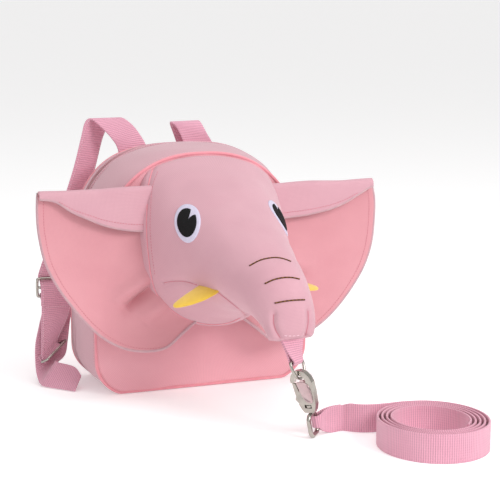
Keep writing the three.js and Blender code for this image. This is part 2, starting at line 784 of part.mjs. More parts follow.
// The swivel eye stands across the hook's plane; the leash loops round its far leg.
const eyeAcrossWay = vec(0.736, 0.676, 0).projectOnPlane(hookUp).normalize();
const eyeHalf = 7;
const eyeTopLine = -postRadius - pieceGap;
const eyeBottomLine = -20.3;
const inEye = (across, up) =>
  hookNeck.clone().addScaledVector(eyeAcrossWay, across).addScaledVector(hookUp, up);
const swivelEye = toGeometry(
  toSolid(
    wireLoop(
      [
        inEye(0, eyeTopLine),
        inEye(eyeHalf * 0.62, eyeTopLine - 0.2),
        inEye(eyeHalf, eyeTopLine - 3.4),
        inEye(eyeHalf, (eyeTopLine + eyeBottomLine) / 2),
        inEye(eyeHalf, eyeBottomLine + 3.4),
        inEye(eyeHalf * 0.62, eyeBottomLine + 0.2),
        inEye(0, eyeBottomLine),
        inEye(-eyeHalf * 0.62, eyeBottomLine + 0.2),
        inEye(-eyeHalf, eyeBottomLine + 3.4),
        inEye(-eyeHalf, (eyeTopLine + eyeBottomLine) / 2),
        inEye(-eyeHalf, eyeTopLine - 3.4),
        inEye(-eyeHalf * 0.62, eyeTopLine - 0.2),
      ],
      postRadius,
    ),
  )
    .add(
      postAt(eyeTopLine, windowBottom + 0.5, postRadius)
        .add(postAt(windowBottom + 0.4, windowTop - 0.4, headRadius))
        .transform(hookFrame.elements),
    ),
);

// The leash: from its sewn end round the eye's leg, over the floor and into the coil

const leg = inEye(eyeHalf, (eyeTopLine + eyeBottomLine) / 2);
const wrapHalf = 5.4;
const flareLength = 11;
const flaredHalf = leashWidth * 0.46;
const leashWay = vec(0.985, 0.17, 0).normalize();
const leashSide = vec(-leashWay.y, leashWay.x, 0);
const wrapRadius = postRadius + pieceGap + leashThickness / 2;
const layerGap = leashThickness / 2 + pieceGap;
const byLeg = (along, aside) =>
  leg.clone().addScaledVector(leashWay, along).addScaledVector(leashSide, aside);
const upright = (height) => vec(0, 0, height);
const standing = (x, y) => ({ at: vec(x, y, leashWidth / 2), half: upright(leashWidth / 2) });
const flared = (along, aside) => {
  const spread = Math.min(1, along / flareLength);
  const half = mix(wrapHalf, flaredHalf, spread);
  const spot = byLeg(along, aside);
  spot.z = Math.max(half, mix(leg.z, flaredHalf, spread));
  return { at: spot, half: upright(half) };
};
const wrapStations = [90, 120, 150, 180, 210, 240, 270].map((degrees) => {
  const angle = (degrees * Math.PI) / 180;
  return {
    at: byLeg(wrapRadius * Math.cos(angle), wrapRadius * Math.sin(angle)),
    half: hookUp.clone().multiplyScalar(wrapHalf),
  };
});
const coilSteps = 66;
const coilStations = Array.from({ length: coilSteps + 1 }, (_, i) => {
  const turned = (i / coilSteps) * coilTurns;
  const angle = Math.PI / 2 - 2 * Math.PI * turned;
  const shrink = coilPitch * turned;
  return standing(
    coilCentre[0] + (coilRadiusAcross - shrink) * Math.cos(angle),
    coilCentre[1] + (coilRadiusDeep - shrink) * Math.sin(angle),
  );
});
const leash = webbing(
  [
    flared(26, layerGap),
    flared(16, layerGap),
    flared(8, layerGap + 0.4),
    flared(3.5, wrapRadius - 0.4),
    ...wrapStations,
    flared(3.5, 0.4 - wrapRadius),
    flared(8, -layerGap - 0.4),
    flared(16, -layerGap),
    flared(26, -layerGap),
    standing(67, -231.5),
    standing(74, -237),
    standing(83.5, -240.6),
    standing(97, -242),
    ...coilStations,
  ],
  leashThickness,
);

// The shoulder webbing

// A three-bar slider or a two-bar ring in the plane of along and down.
function wireFrame(centre, along, down, length, height, radius, bars) {
  const halfLength = length / 2 - radius;
  const halfHeight = height / 2 - radius;
  const spot = (a, d) => centre.clone().addScaledVector(along, a).addScaledVector(down, d);
  const corner = radius * 1.6;
  const outline = [
    [0, -halfHeight], [halfLength - corner, -halfHeight], [halfLength, -halfHeight + corner],
    [halfLength, halfHeight - corner], [halfLength - corner, halfHeight], [0, halfHeight],
    [corner - halfLength, halfHeight], [-halfLength, halfHeight - corner], [-halfLength, -halfHeight + corner],
    [corner - halfLength, -halfHeight],
  ];
  const loop = toSolid(wireLoop(outline.map(([a, d]) => spot(a, d)), radius));
  if (bars === 2) {
    return toGeometry(loop);
  }
  const across = [-halfLength, halfLength].map((a) =>
    Array.from({ length: 6 }, (_, j) => {
      const angle = (2 * Math.PI * j) / 6;
      return spot(a, 0)
        .addScaledVector(down, Math.cos(angle) * radius)
        .addScaledVector(along.clone().cross(down), Math.sin(angle) * radius);
    }),
  );
  return toGeometry(loop.add(toSolid(loft(across))));
}

const edges = (right, left) => ({
  at: right.clone().add(left).multiplyScalar(0.5),
  half: right.clone().sub(left).multiplyScalar(0.5),
});
const strapHalf = (share = 1) => vec((strapWidth / 2) * share, 0, 0);
const hemRadius = sliderWire + pieceGap + webThickness / 2;
const sliderStep = sliderHeight / 2 - sliderWire;
const overHem = hemRadius + webThickness + pieceGap;

// Stations round a bar: from one angle to another about the bar's middle.
function roundBar(middle, half, ahead, upward, radius, angles) {
  return angles.map((degrees) => {
    const angle = (degrees * Math.PI) / 180;
    return {
      at: middle
        .clone()
        .addScaledVector(ahead, radius * Math.cos(angle))
        .addScaledVector(upward, radius * Math.sin(angle)),
      half: half.clone(),
    };
  });
}

// The way a shoulder strap passes the slider: behind its top bar, before the others.
const throughSlider = (centre) => [
  { at: alongLine(centre, vec(0, hemRadius, sliderStep + 7), 1), half: strapHalf() },
  { at: alongLine(centre, vec(0, hemRadius, sliderStep), 1), half: strapHalf() },
  { at: alongLine(centre, vec(0, -hemRadius - pieceGap, 0), 1), half: strapHalf() },
  { at: alongLine(centre, vec(0, -overHem, -sliderStep), 1), half: strapHalf() },
  { at: alongLine(centre, vec(0, -overHem, -sliderStep - 12), 1), half: strapHalf() },
];

// The hem of a lower strap round the slider's lowest bar, front tail first.
const sliderHem = (centre) => {
  const bar = alongLine(centre, vec(0, 0, -sliderStep), 1);
  const turned = roundBar(bar, strapHalf(), vec(0, -1, 0), vec(0, 0, 1), hemRadius, [0, 45, 90, 135, 180]);
  return [{ at: alongLine(bar, vec(0, -hemRadius + 0.1, -9), 1), half: strapHalf() }, ...turned];
};

// The straps' lower places, given by how far they stand out past the bag's sides.
const byLeft = (past, y, z) => vec(-halfWidth - past, y, z);
const byRight = (past, y, z) => vec(halfWidth + past, y, z);
const rightHardware = -5.5;

const sliderLeft = byLeft(14, 51, 89);
const sliderRight = byRight(rightHardware, 58, 74);
const downward = vec(0, 0, 1);
const sliderAlong = vec(1, 0, 0);

// The ring that holds the front layer's hem on the left, its near bar seen slanting in front.
const ringLeftAlong = vec(0.73, 0.54, 0.43).normalize();
const ringLeftDeep = vec(-0.2, 1, -0.35).projectOnPlane(ringLeftAlong).normalize();
const ringLeftDown = ringLeftDeep.clone().cross(ringLeftAlong).normalize();
const ringLeftNear = byLeft(21.5, 20.5, 33);
const ringDepth = stripRingHeight - 2 * stripRingWire - 2;
const ringLeftFar = alongLine(ringLeftNear, ringLeftDeep, ringDepth);
const ringLeftMiddle = alongLine(ringLeftNear, ringLeftDeep, ringDepth / 2);
const ringHemRadius = stripRingWire + pieceGap + webThickness / 2;
const ringLeftHalf = ringLeftAlong.clone().multiplyScalar(13.4);
const ringLeftSign = ringLeftDown.z < 0 ? -1 : 1;
const ringLeftUp = ringLeftDown.clone().multiplyScalar(ringLeftSign);

const shoulderStrapLeft = webbing([
  { at: vec(-39.5, 44.4, 200), half: strapHalf() },
  { at: vec(-40.5, 44.4, 221), half: strapHalf() },
  { at: vec(-48, 47.6, 236), half: vec(14, 3, 3) },
  { at: vec(-58, 52, 247), half: vec(14.5, 2, 2) },
  { at: vec(-64.5, 56, 251), half: strapHalf() },
  { at: vec(-70, 62, 247), half: vec(14.5, 3.5, 0) },
  { at: vec(-75.5, 65, 232), half: vec(13.2, 7, 0) },
  { at: vec(-84.5, 65, 200), half: vec(13.2, 7, 0) },
  { at: vec(-102, 61, 150), half: vec(14.2, 4.5, 0) },
  ...throughSlider(sliderLeft),
  { at: byLeft(18.5, 39.5, 54), half: vec(13.5, 2, 3) },
  { at: alongLine(alongLine(ringLeftFar, ringLeftDeep, -ringHemRadius), ringLeftUp, 4), half: ringLeftHalf },
  ...roundBar(
    ringLeftFar,
    ringLeftHalf,
    ringLeftDeep.clone().negate(),
    ringLeftUp.clone().negate(),
    ringHemRadius,
    [0, 45, 90, 135, 180],
  ),
  { at: alongLine(alongLine(ringLeftFar, ringLeftDeep, ringHemRadius), ringLeftUp, 5), half: ringLeftHalf },
]);

const lowerStrapLeft = webbing([
  ...sliderHem(sliderLeft),
  edges(byLeft(-3, 51.5, 68), byLeft(27, 51.5, 68)),
  edges(byLeft(1, 47.5, 52), byLeft(32, 47, 52)),
  edges(byLeft(4.5, 43, 36), byLeft(38, 39.5, 34)),
  edges(byLeft(9, 36, 24), byLeft(41, 27, 14)),
  edges(byLeft(19, 22.5, 22.5), byLeft(40.5, 18, 4)),
  edges(byLeft(23, 17, 23.5), byLeft(39.5, 13, 1.9)),
  edges(byLeft(22, 12, 22.5), byLeft(37, 8, 1.1)),
  edges(byLeft(9, 3, 19), byLeft(22, -10, 1)),
  edges(byLeft(5, -6.5, 12.5), byLeft(15, -19, 1)),
]);

const shoulderStrapRight = webbing([
  { at: vec(29.5, 44.4, 199), half: strapHalf() },
  { at: vec(28.5, 44.4, 220.5), half: strapHalf() },
  { at: vec(22.5, 47.6, 236), half: vec(14.5, -2, -2) },
  { at: vec(18, 53, 244.5), half: strapHalf() },
  { at: vec(18, 59, 243), half: strapHalf() },
  { at: vec(25.5, 66, 228), half: strapHalf() },
  { at: vec(40, 68, 188.5), half: vec(14, 0, 4) },
  { at: vec(63.5, 66, 130), half: vec(13.6, 0, 6) },
  ...throughSlider(sliderRight),
  { at: byRight(rightHardware, 48, 42), half: strapHalf(0.96) },
  ...roundBar(
    byRight(rightHardware, 49, 26),
    strapHalf(0.9),
    vec(0, -1, 0),
    vec(0, 0, -1),
    ringHemRadius,
    [0, 45, 90, 135, 180],
  ),
]);
const lowerStrapRight = webbing([
  ...sliderHem(sliderRight),
  { at: byRight(rightHardware, 59.5, 52), half: strapHalf() },
  { at: byRight(-6.5, 56, 30), half: strapHalf() },
  { at: byRight(-9.5, 52, 12), half: strapHalf() },
  { at: byRight(-13.5, 46, 4), half: strapHalf(0.9) },
]);

export default (() => {
  const group = new THREE.Group();
  const cloth = { color: 0xe8a9b3, roughness: 0.9, metalness: 0 };
  const webbingLook = { color: 0xeda7c6, roughness: 0.85, metalness: 0 };
  const seamLook = { color: 0xe77b85, roughness: 0.85, metalness: 0 };
  const whiteLook = { color: 0xeee6ee, roughness: 0.8, metalness: 0 };
  const blackLook = { color: 0x15151a, roughness: 0.7, metalness: 0 };
  const yellowLook = { color: 0xf2d35c, roughness: 0.85, metalness: 0 };
  const nickelLook = { color: 0xb9b6ae, roughness: 0.25, metalness: 1 };
  const add = (name, geometry, look) => {
    const mesh = new THREE.Mesh(geometry, new THREE.MeshStandardMaterial(look));
    mesh.name = name;
    group.add(mesh);
  };
  add("bag_front_panel", frontPanel, cloth);
  add("bag_back_panel", backPanel, cloth);
  add("bag_base", bagBase, cloth);
  add("gusset_front", gussetFront, cloth);
  add("gusset_back", gussetBack, cloth);
  add("zip_tape", zipTape, seamLook);
  add("zip_coil", zipCoil, seamLook);
  add("zip_slider", zipSlider, nickelLook);
  add("front_piping", piping, seamLook);
  add("head", head, cloth);
  add("ear_left", ear(-1), cloth);
  add("ear_right", ear(1), cloth);
  add("eye_white_left", eyeLayer(-1, eyeWidth, eyeHeight, 0, false), whiteLook);
  add("eye_white_right", eyeLayer(1, eyeWidth, eyeHeight, 0, false), whiteLook);
  add("pupil_left", eyeLayer(-1, pupilWidth, pupilHeight, eyeThickness + pieceGap, true), blackLook);
  add("pupil_right", eyeLayer(1, pupilWidth, pupilHeight, eyeThickness + pieceGap, true), blackLook);
  add("tusk_left", tusk(vec(-20, -146, 123), vec(-62, -139, 102.4), vec(0.39, -0.92, -0.07)), yellowLook);
  add("tusk_right", tusk(vec(34, -140, 120), vec(80, -132, 107), vec(-0.39, -0.92, -0.07)), yellowLook);
  add("trunk_tab", trunkTab, webbingLook);
  add("d_ring", dRing, nickelLook);
  add("hook_body", hookBody, nickelLook);
  add("hook_gate", hookGate, nickelLook);
  add("swivel_eye", swivelEye, nickelLook);
  add("leash", leash, webbingLook);
  add("shoulder_strap_left", shoulderStrapLeft, webbingLook);
  add("shoulder_strap_right", shoulderStrapRight, webbingLook);
  add("lower_strap_left", lowerStrapLeft, webbingLook);
  add("lower_strap_right", lowerStrapRight, webbingLook);
  add(
    "strap_slider_left",
    wireFrame(sliderLeft, sliderAlong, downward, sliderLength, sliderHeight, sliderWire, 3),
    nickelLook,
  );
  add(
    "strap_slider_right",
    wireFrame(sliderRight, sliderAlong, downward, sliderLength, sliderHeight, sliderWire, 3),
    nickelLook,
  );
  add(
    "strap_ring_left",
    wireFrame(
      ringLeftMiddle,
      ringLeftAlong,
      ringLeftDeep,
      stripRingLength,
      ringDepth + 2 * stripRingWire,
      stripRingWire,
      2,
    ),
    nickelLook,
  );
  add(
    "strap_ring_right",
    wireFrame(
      byRight(rightHardware, 49, 26 - ringDepth / 2),
      sliderAlong,
      downward,
      stripRingLength,
      ringDepth + 2 * stripRingWire,
      stripRingWire,
      2,
    ),
    nickelLook,
  );
  return group;
})();
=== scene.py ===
import math
import bmesh
import bpy
import numpy as np
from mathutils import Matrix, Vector, noise
from mathutils.bvhtree import BVHTree


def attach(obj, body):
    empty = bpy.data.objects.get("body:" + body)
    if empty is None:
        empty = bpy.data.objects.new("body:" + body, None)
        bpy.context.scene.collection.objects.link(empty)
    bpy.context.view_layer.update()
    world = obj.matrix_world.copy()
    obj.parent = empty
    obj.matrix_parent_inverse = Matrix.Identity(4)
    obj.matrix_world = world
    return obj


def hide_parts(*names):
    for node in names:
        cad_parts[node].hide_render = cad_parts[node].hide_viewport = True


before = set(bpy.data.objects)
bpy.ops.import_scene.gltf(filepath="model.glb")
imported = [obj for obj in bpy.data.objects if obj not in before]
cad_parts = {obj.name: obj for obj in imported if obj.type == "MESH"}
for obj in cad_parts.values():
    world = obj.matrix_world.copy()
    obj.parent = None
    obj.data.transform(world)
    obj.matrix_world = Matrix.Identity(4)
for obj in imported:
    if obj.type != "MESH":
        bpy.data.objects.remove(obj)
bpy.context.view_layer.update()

# Sizes in millimetres, the same as the CAD source's
BAG_WIDTH, BAG_HEIGHT, BAG_DEPTH = 211.0, 225.0, 84.0
CORNER_RADIUS, ARCH_START = 34.0, 90.0
ARCH_ROUND_FRONT, ARCH_ROUND_BACK = 2.4, 3.0
PIECE_GAP, PIPING_RADIUS = 0.3, 1.6
FRONT_CROWN, BACK_CROWN, SIDE_BULGE = 6.0, 3.0, 5.0
ZIP_WIDTH = 13.0
HALF_WIDTH = BAG_WIDTH / 2
FRONT_FACE, BACK_FACE = -BAG_DEPTH / 2, BAG_DEPTH / 2
ZIP_FRONT = FRONT_FACE + BAG_DEPTH * 0.68
ZIP_BACK = ZIP_FRONT + ZIP_WIDTH
FACE_SHIFT, HEAD_REACH, HEAD_HALF_WIDTH, TRUNK_SWING = 3.5, 187.0, 71.0, 14.0
EAR_SPAN, EAR_TOP, RIGHT_EAR_DROP, EAR_FOLD, EAR_FLAP, EAR_CUP = 331.0, 198.0, 3.5, 3.4, 36.0, 8.0
MM = 0.001


def unit(v):
    v = np.asarray(v, float)
    return v / np.linalg.norm(v)


# Materials

def material(name, color, rough=0.85, sheen=0.25, metal=0.0):
    m = bpy.data.materials.new(name)
    m.use_nodes = True
    nodes, links = m.node_tree.nodes, m.node_tree.links
    shader = nodes["Principled BSDF"]
    shader.inputs["Specular IOR Level"].default_value = 0.5 if metal else 0.25
    shader.inputs["Base Color"].default_value = (*color, 1)
    shader.inputs["Roughness"].default_value = rough
    shader.inputs["Metallic"].default_value = metal
    if sheen:
        shader.inputs["Sheen Weight"].default_value = sheen
        shader.inputs["Sheen Roughness"].default_value = 0.5
    return m, nodes, links, shader


def tinted(nodes, links, color, other, source, scale):
    """A colour that wanders between two tones, with the pattern's scale per metre."""
    spots = nodes.new("ShaderNodeTexNoise")
    spots.inputs["Scale"].default_value = scale
    spots.inputs["Detail"].default_value = 4
    ramp = nodes.new("ShaderNodeValToRGB")
    ramp.color_ramp.elements[0].position = 0.35
    ramp.color_ramp.elements[1].position = 0.65
    ramp.color_ramp.elements[0].color = (*color, 1)
    ramp.color_ramp.elements[1].color = (*other, 1)
    links.new(source, spots.inputs["Vector"])
    links.new(spots.outputs["Fac"], ramp.inputs["Fac"])
    return ramp.outputs["Color"]


def woven(name, color, other, pitch=0.0009, depth=0.00012, ribs=None, rough=0.85, sheen=0.3):
    """Cloth with warp and weft crossing at pitch, or webbing whose ribs run across it."""
    m, nodes, links, shader = material(name, color, rough, sheen)
    place = nodes.new("ShaderNodeUVMap")
    waves = []
    for axis, spacing in (("X", pitch if ribs is None else 0.0021), ("Y", pitch if ribs is None else ribs)):
        wave = nodes.new("ShaderNodeTexWave")
        wave.bands_direction = axis
        wave.inputs["Scale"].default_value = 1 / (spacing * 3.2)
        wave.inputs["Distortion"].default_value = 0.6 if ribs is None else 0.25
        wave.inputs["Detail"].default_value = 1
        wave.inputs["Detail Scale"].default_value = 3
        links.new(place.outputs["UV"], wave.inputs["Vector"])
        waves.append(wave)
    both = nodes.new("ShaderNodeMath")
    both.operation = "MULTIPLY" if ribs is None else "MULTIPLY_ADD"
    links.new(waves[0].outputs["Fac"], both.inputs[0])
    if ribs is None:
        links.new(waves[1].outputs["Fac"], both.inputs[1])
    else:
        both.inputs[1].default_value = 0.22
        links.new(waves[1].outputs["Fac"], both.inputs[2])
    bump = nodes.new("ShaderNodeBump")
    bump.inputs["Strength"].default_value = 0.55
    bump.inputs["Distance"].default_value = depth
    links.new(both.outputs["Value"], bump.inputs["Height"])
    links.new(bump.outputs["Normal"], shader.inputs["Normal"])
    tone = tinted(nodes, links, color, other, place.outputs["UV"], 28)
    mix = nodes.new("ShaderNodeMix")
    mix.data_type = "RGBA"
    mix.blend_type = "MULTIPLY"
    shade = nodes.new("ShaderNodeMapRange")
    shade.inputs["To Min"].default_value = 0.86 if ribs is None else 0.72
    shade.inputs["To Max"].default_value = 1.0
    links.new(both.outputs["Value"], shade.inputs["Value"])
    mix.inputs["Factor"].default_value = 1.0
    links.new(tone, mix.inputs["A"])
    links.new(shade.outputs["Result"], mix.inputs["B"])
    links.new(mix.outputs["Result"], shader.inputs["Base Color"])
    return m


def fuzzy(name, color, other, scale=900, depth=0.0004, rough=0.95, sheen=0.5):
    m, nodes, links, shader = material(name, color, rough, sheen)
    place = nodes.new("ShaderNodeTexCoord")
    fibres = nodes.new("ShaderNodeTexNoise")
    fibres.inputs["Scale"].default_value = scale
    fibres.inputs["Detail"].default_value = 6
    links.new(place.outputs["Object"], fibres.inputs["Vector"])
    bump = nodes.new("ShaderNodeBump")
    bump.inputs["Strength"].default_value = 0.5
    bump.inputs["Distance"].default_value = depth
    links.new(fibres.outputs["Fac"], bump.inputs["Height"])
    links.new(bump.outputs["Normal"], shader.inputs["Normal"])
    tone = tinted(nodes, links, color, other, place.outputs["Object"], 160)
    links.new(tone, shader.inputs["Base Color"])
    return m


def satin(name, color, other, spacing=0.0006, rough=0.45):
    """Embroidery: close parallel threads with a silky gloss."""
    m, nodes, links, shader = material(name, color, rough, 0.15)
    place = nodes.new("ShaderNodeUVMap")
    wave = nodes.new("ShaderNodeTexWave")
    wave.bands_direction = "X"
    wave.inputs["Scale"].default_value = 1 / (spacing * 3.2)
    wave.inputs["Distortion"].default_value = 1.5
    links.new(place.outputs["UV"], wave.inputs["Vector"])
    bump = nodes.new("ShaderNodeBump")
    bump.inputs["Strength"].default_value = 0.6
    bump.inputs["Distance"].default_value = 0.00015
    links.new(wave.outputs["Fac"], bump.inputs["Height"])
    links.new(bump.outputs["Normal"], shader.inputs["Normal"])
    tone = tinted(nodes, links, color, other, place.outputs["UV"], 300)
    links.new(tone, shader.inputs["Base Color"])
    return m


def plated(name, color, rough=0.2):
    m, nodes, links, shader = material(name, color, rough, 0, 1.0)
    place = nodes.new("ShaderNodeTexCoord")
    wear = nodes.new("ShaderNodeTexNoise")
    wear.inputs["Scale"].default_value = 420
    wear.inputs["Detail"].default_value = 5
    links.new(place.outputs["Object"], wear.inputs["Vector"])
    spread = nodes.new("ShaderNodeMapRange")
    spread.inputs["To Min"].default_value = rough - 0.06
    spread.inputs["To Max"].default_value = rough + 0.14
    links.new(wear.outputs["Fac"], spread.inputs["Value"])
    links.new(spread.outputs["Result"], shader.inputs["Roughness"])
    tone = tinted(nodes, links, color, tuple(c * 0.8 for c in color), place.outputs["Object"], 130)
    links.new(tone, shader.inputs["Base Color"])
    bump = nodes.new("ShaderNodeBump")
    bump.inputs["Strength"].default_value = 0.12
    bump.inputs["Distance"].default_value = 0.0001
    links.new(wear.outputs["Fac"], bump.inputs["Height"])
    links.new(bump.outputs["Normal"], shader.inputs["Normal"])
    return m


BAG_CLOTH = woven("bag_weave", (0.85, 0.42, 0.475), (0.82, 0.39, 0.445))
SIDE_CLOTH = woven("side_weave", (0.68, 0.395, 0.45), (0.65, 0.37, 0.425))
FACE_CLOTH = woven("face_weave", (0.69, 0.385, 0.445), (0.66, 0.36, 0.42))
EAR_CLOTH = woven("ear_weave", (0.75, 0.35, 0.39), (0.72, 0.325, 0.365))
WEBBING = woven("webbing_ribs", (0.8, 0.4, 0.51), (0.77, 0.37, 0.48), ribs=0.0019, depth=0.0006, rough=0.75)
SEAM = fuzzy("coral_seam", (0.79, 0.31, 0.36), (0.75, 0.28, 0.33), scale=1500, depth=0.0002)
# Dark coral for sewn lines and stitches in the seams' grooves: real seams and stitches, darkened as painted
# groove shade
SEAM_PAINTED_SHADE = fuzzy("seam_line_painted_shade", (0.6, 0.2, 0.25), (0.56, 0.18, 0.22), scale=1500, depth=0.0002)
# Darker grey-pink for the ears' rolled edges: painted shade where the edge turns away from the light
RIM_PAINTED_SHADE = fuzzy("ear_rim_painted_shade", (0.55, 0.34, 0.37), (0.5, 0.3, 0.34), scale=1500, depth=0.0002)
THREAD = fuzzy("pink_thread", (0.8, 0.44, 0.5), (0.78, 0.42, 0.48), scale=2500, depth=0.0001)
PALE_THREAD = fuzzy("pale_thread", (0.88, 0.66, 0.72), (0.86, 0.64, 0.7), scale=2500, depth=0.0001)
BROWN_THREAD = fuzzy("brown_thread", (0.07, 0.028, 0.012), (0.1, 0.045, 0.02), scale=2500, depth=0.0001,
                     sheen=0.0)
# Lighter brown stitches laid over the trunk creases: a painted glint on the dark thread
GLINT_PAINT_THREAD = fuzzy("painted_glint_thread", (0.35, 0.17, 0.05), (0.3, 0.14, 0.04), scale=2500, depth=0.0001,
                    sheen=0.0)
ZIP_TAPE = woven("zip_weave", (0.66, 0.4, 0.42), (0.62, 0.37, 0.39), pitch=0.0007)
COIL = fuzzy("zip_nylon", (0.6, 0.3, 0.33), (0.56, 0.27, 0.3), scale=1200, depth=0.0001, rough=0.5,
             sheen=0.0)
FELT = fuzzy("yellow_felt", (0.8, 0.53, 0.07), (0.76, 0.49, 0.06))
WHITE = satin("white_satin", (0.66, 0.62, 0.76), (0.6, 0.56, 0.71))
BLACK = satin("black_satin", (0.0012, 0.0012, 0.0016), (0.003, 0.003, 0.004), rough=0.75)
BLACK.node_tree.nodes["Principled BSDF"].inputs["Sheen Weight"].default_value = 0
NICKEL = plated("nickel", (0.47, 0.44, 0.4), 0.17)
# Pinkish metal of the hook's inset panels: a painted reflection of the pink bag
HOOK_PAINTED_REFLECTION = plated("hook_painted_reflection_metal", (0.6, 0.45, 0.46), 0.12)


# Mesh helpers

def finished(name, verts, faces, uvs, mat, nodes=(), slot=None, body="bag", outward=True):
    """A mesh object. Faces with five or more corners stay flat."""
    mesh = bpy.data.meshes.new(name)
    mesh.from_pydata([tuple(v) for v in np.asarray(verts) * MM], [], faces)
    if uvs is not None:
        layer = mesh.uv_layers.new(name="UVMap")
        flat = [c for uv in uvs for c in uv]
        layer.data.foreach_set("uv", flat)
    mesh.materials.append(mat)
    if outward:
        shell = bmesh.new()
        shell.from_mesh(mesh)
        bmesh.ops.recalc_face_normals(shell, faces=shell.faces)
        shell.to_mesh(mesh)
        shell.free()
    mesh.polygons.foreach_set("use_smooth", [len(polygon.vertices) < 5 for polygon in mesh.polygons])
    mesh.update()
    o = bpy.data.objects.new(name, mesh)
    bpy.context.scene.collection.objects.link(o)
    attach(o, body)
    if nodes:
        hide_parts(*nodes)
    return o


def grid(name, pts, mat, thick=0.0, offset=0.0, closed=False, caps=False, **rest):
    """A surface from rows of points. closed joins each row's end to its start, caps close the end rows,
    or with "last" only the last one."""
    pts = np.asarray(pts, float)
    rows, cols = pts.shape[:2]
    step = np.linalg.norm(np.diff(pts, axis=1), axis=2).mean(axis=0)
    across = np.concatenate([[0], np.cumsum(step)])
    down = np.concatenate([[0], np.cumsum(np.linalg.norm(np.diff(pts, axis=0), axis=2).mean(axis=1))])
    wrap_length = np.linalg.norm(pts[:, 0] - pts[:, -1], axis=1).mean()
    faces, uvs = [], []
    for i in range(rows - 1):
        for j in range(cols if closed else cols - 1):
            k = (j + 1) % cols
            faces.append((i * cols + j, i * cols + k, (i + 1) * cols + k, (i + 1) * cols + j))
            u0, u1 = across[j], across[k] if k else across[j] + wrap_length
            v0, v1 = down[i], down[i + 1]
            uvs += [(u0 * MM, v0 * MM), (u1 * MM, v0 * MM), (u1 * MM, v1 * MM), (u0 * MM, v1 * MM)]
    if caps:
        both_ends = [list(range(cols))[::-1], list(range((rows - 1) * cols, rows * cols))]
        for ring in both_ends[1:] if caps == "last" else both_ends:
            faces.append(tuple(ring))
            uvs += [(pts.reshape(-1, 3)[v][0] * MM, pts.reshape(-1, 3)[v][2] * MM) for v in ring]
    o = finished(name, pts.reshape(-1, 3), faces, uvs, mat, outward=bool(caps), **rest)
    if thick:
        solid = o.modifiers.new("wall", "SOLIDIFY")
        solid.thickness = thick * MM
        solid.offset = offset
        solid.use_quality_normals = True
    return o


def resample(points, step, closed=False):
    """Catmull-Rom through points (any number of columns), at about step apart."""
    p = np.asarray(points, float)
    n = len(p)
    made = []
    for i in range(n if closed else n - 1):
        a, b, c, d = (p[(i + k) % n] if closed else p[min(max(i + k, 0), n - 1)] for k in (-1, 0, 1, 2))
        parts = max(1, int(round(np.linalg.norm((c - b)[:3]) / step)))
        for k in range(parts):
            t = k / parts
            made.append(b + 0.5 * t * (c - a + t * (2 * a - 5 * b + 4 * c - d + t * (3 * (b - c) + d - a))))
    if not closed:
        made.append(p[-1])
    return np.array(made)


def tube_rings(path, radius, sides=10, closed=False):
    path = np.asarray(path, float)
    n = len(path)
    if closed:
        along = np.roll(path, -1, axis=0) - np.roll(path, 1, axis=0)
    else:
        along = np.gradient(path, axis=0)
    along /= np.linalg.norm(along, axis=1)[:, None]
    side = unit(np.cross(along[0], (0.13, 0.31, 0.94)))
    rings = []
    for i in range(n):
        side = unit(side - along[i] * (side @ along[i]))
        other = np.cross(along[i], side)
        r = radius[i] if np.ndim(radius) else radius
        rings.append([path[i] + r * (math.cos(a) * side + math.sin(a) * other)
                      for a in np.linspace(0, 2 * math.pi, sides, endpoint=False)])
    return np.array(rings)


def tube(name, path, radius, mat, closed=False, sides=10, **rest):
    rings = tube_rings(path, radius, sides, closed)
    if closed:
        first = rings[0]
        shift = min(range(sides), key=lambda s: np.linalg.norm(np.roll(first, s, axis=0)[0] - rings[-1][0]))
        rings = np.concatenate([rings, [np.roll(first, shift, axis=0)]])
    return grid(name, rings, mat, closed=True, caps=not closed, **rest)


def stitches(name, path, mat, pitch=2.6, share=0.68, radius=0.28, **rest):
    """Thread lying in separate stitches along a path of points."""
    sides, swell = 6, np.array([0.35, 0.9, 1.0, 0.9, 0.35])
    path = resample(path, 0.5)
    length = np.concatenate([[0], np.cumsum(np.linalg.norm(np.diff(path, axis=0), axis=1))])
    verts, faces = [], []
    count = max(1, int(length[-1] / pitch))
    for k in range(count):
        ends = [length[-1] * (k + (1 - share) / 2) / count, length[-1] * (k + (1 + share) / 2) / count]
        a, b = (np.array([np.interp(s, length, path[:, c]) for c in range(3)]) for s in ends)
        line = [a, a + (b - a) * 0.18, a + (b - a) * 0.5, a + (b - a) * 0.82, b]
        rings = tube_rings(line, swell * radius, sides)
        base = len(verts)
        verts += [p for ring in rings for p in ring]
        last = base + (len(line) - 1) * sides
        for ring in range(base, last, sides):
            for j in range(sides):
                m = (j + 1) % sides
                faces.append((ring + j, ring + m, ring + sides + m, ring + sides + j))
        faces.append(tuple(base + j for j in range(sides - 1, -1, -1)))
        faces.append(tuple(last + j for j in range(sides)))
    return finished(name, verts, faces, None, mat, **rest)


def grid_normals(pts):
    normal = np.cross(np.gradient(pts, axis=1), np.gradient(pts, axis=0))
    return normal / (np.linalg.norm(normal, axis=2)[..., None] + 1e-9)


def wrinkled(pts, amount, size, seed=0.0):
    """Moves a grid's points along its normals by smooth noise."""
    pts = np.asarray(pts, float)
    start = Vector((seed, seed, seed))
    shift = np.array([[noise.noise(Vector(p / size) + start) for p in row] for row in pts])
    return pts + grid_normals(pts) * (shift * amount)[..., None]


# Where a pixel of the photograph meets a surface

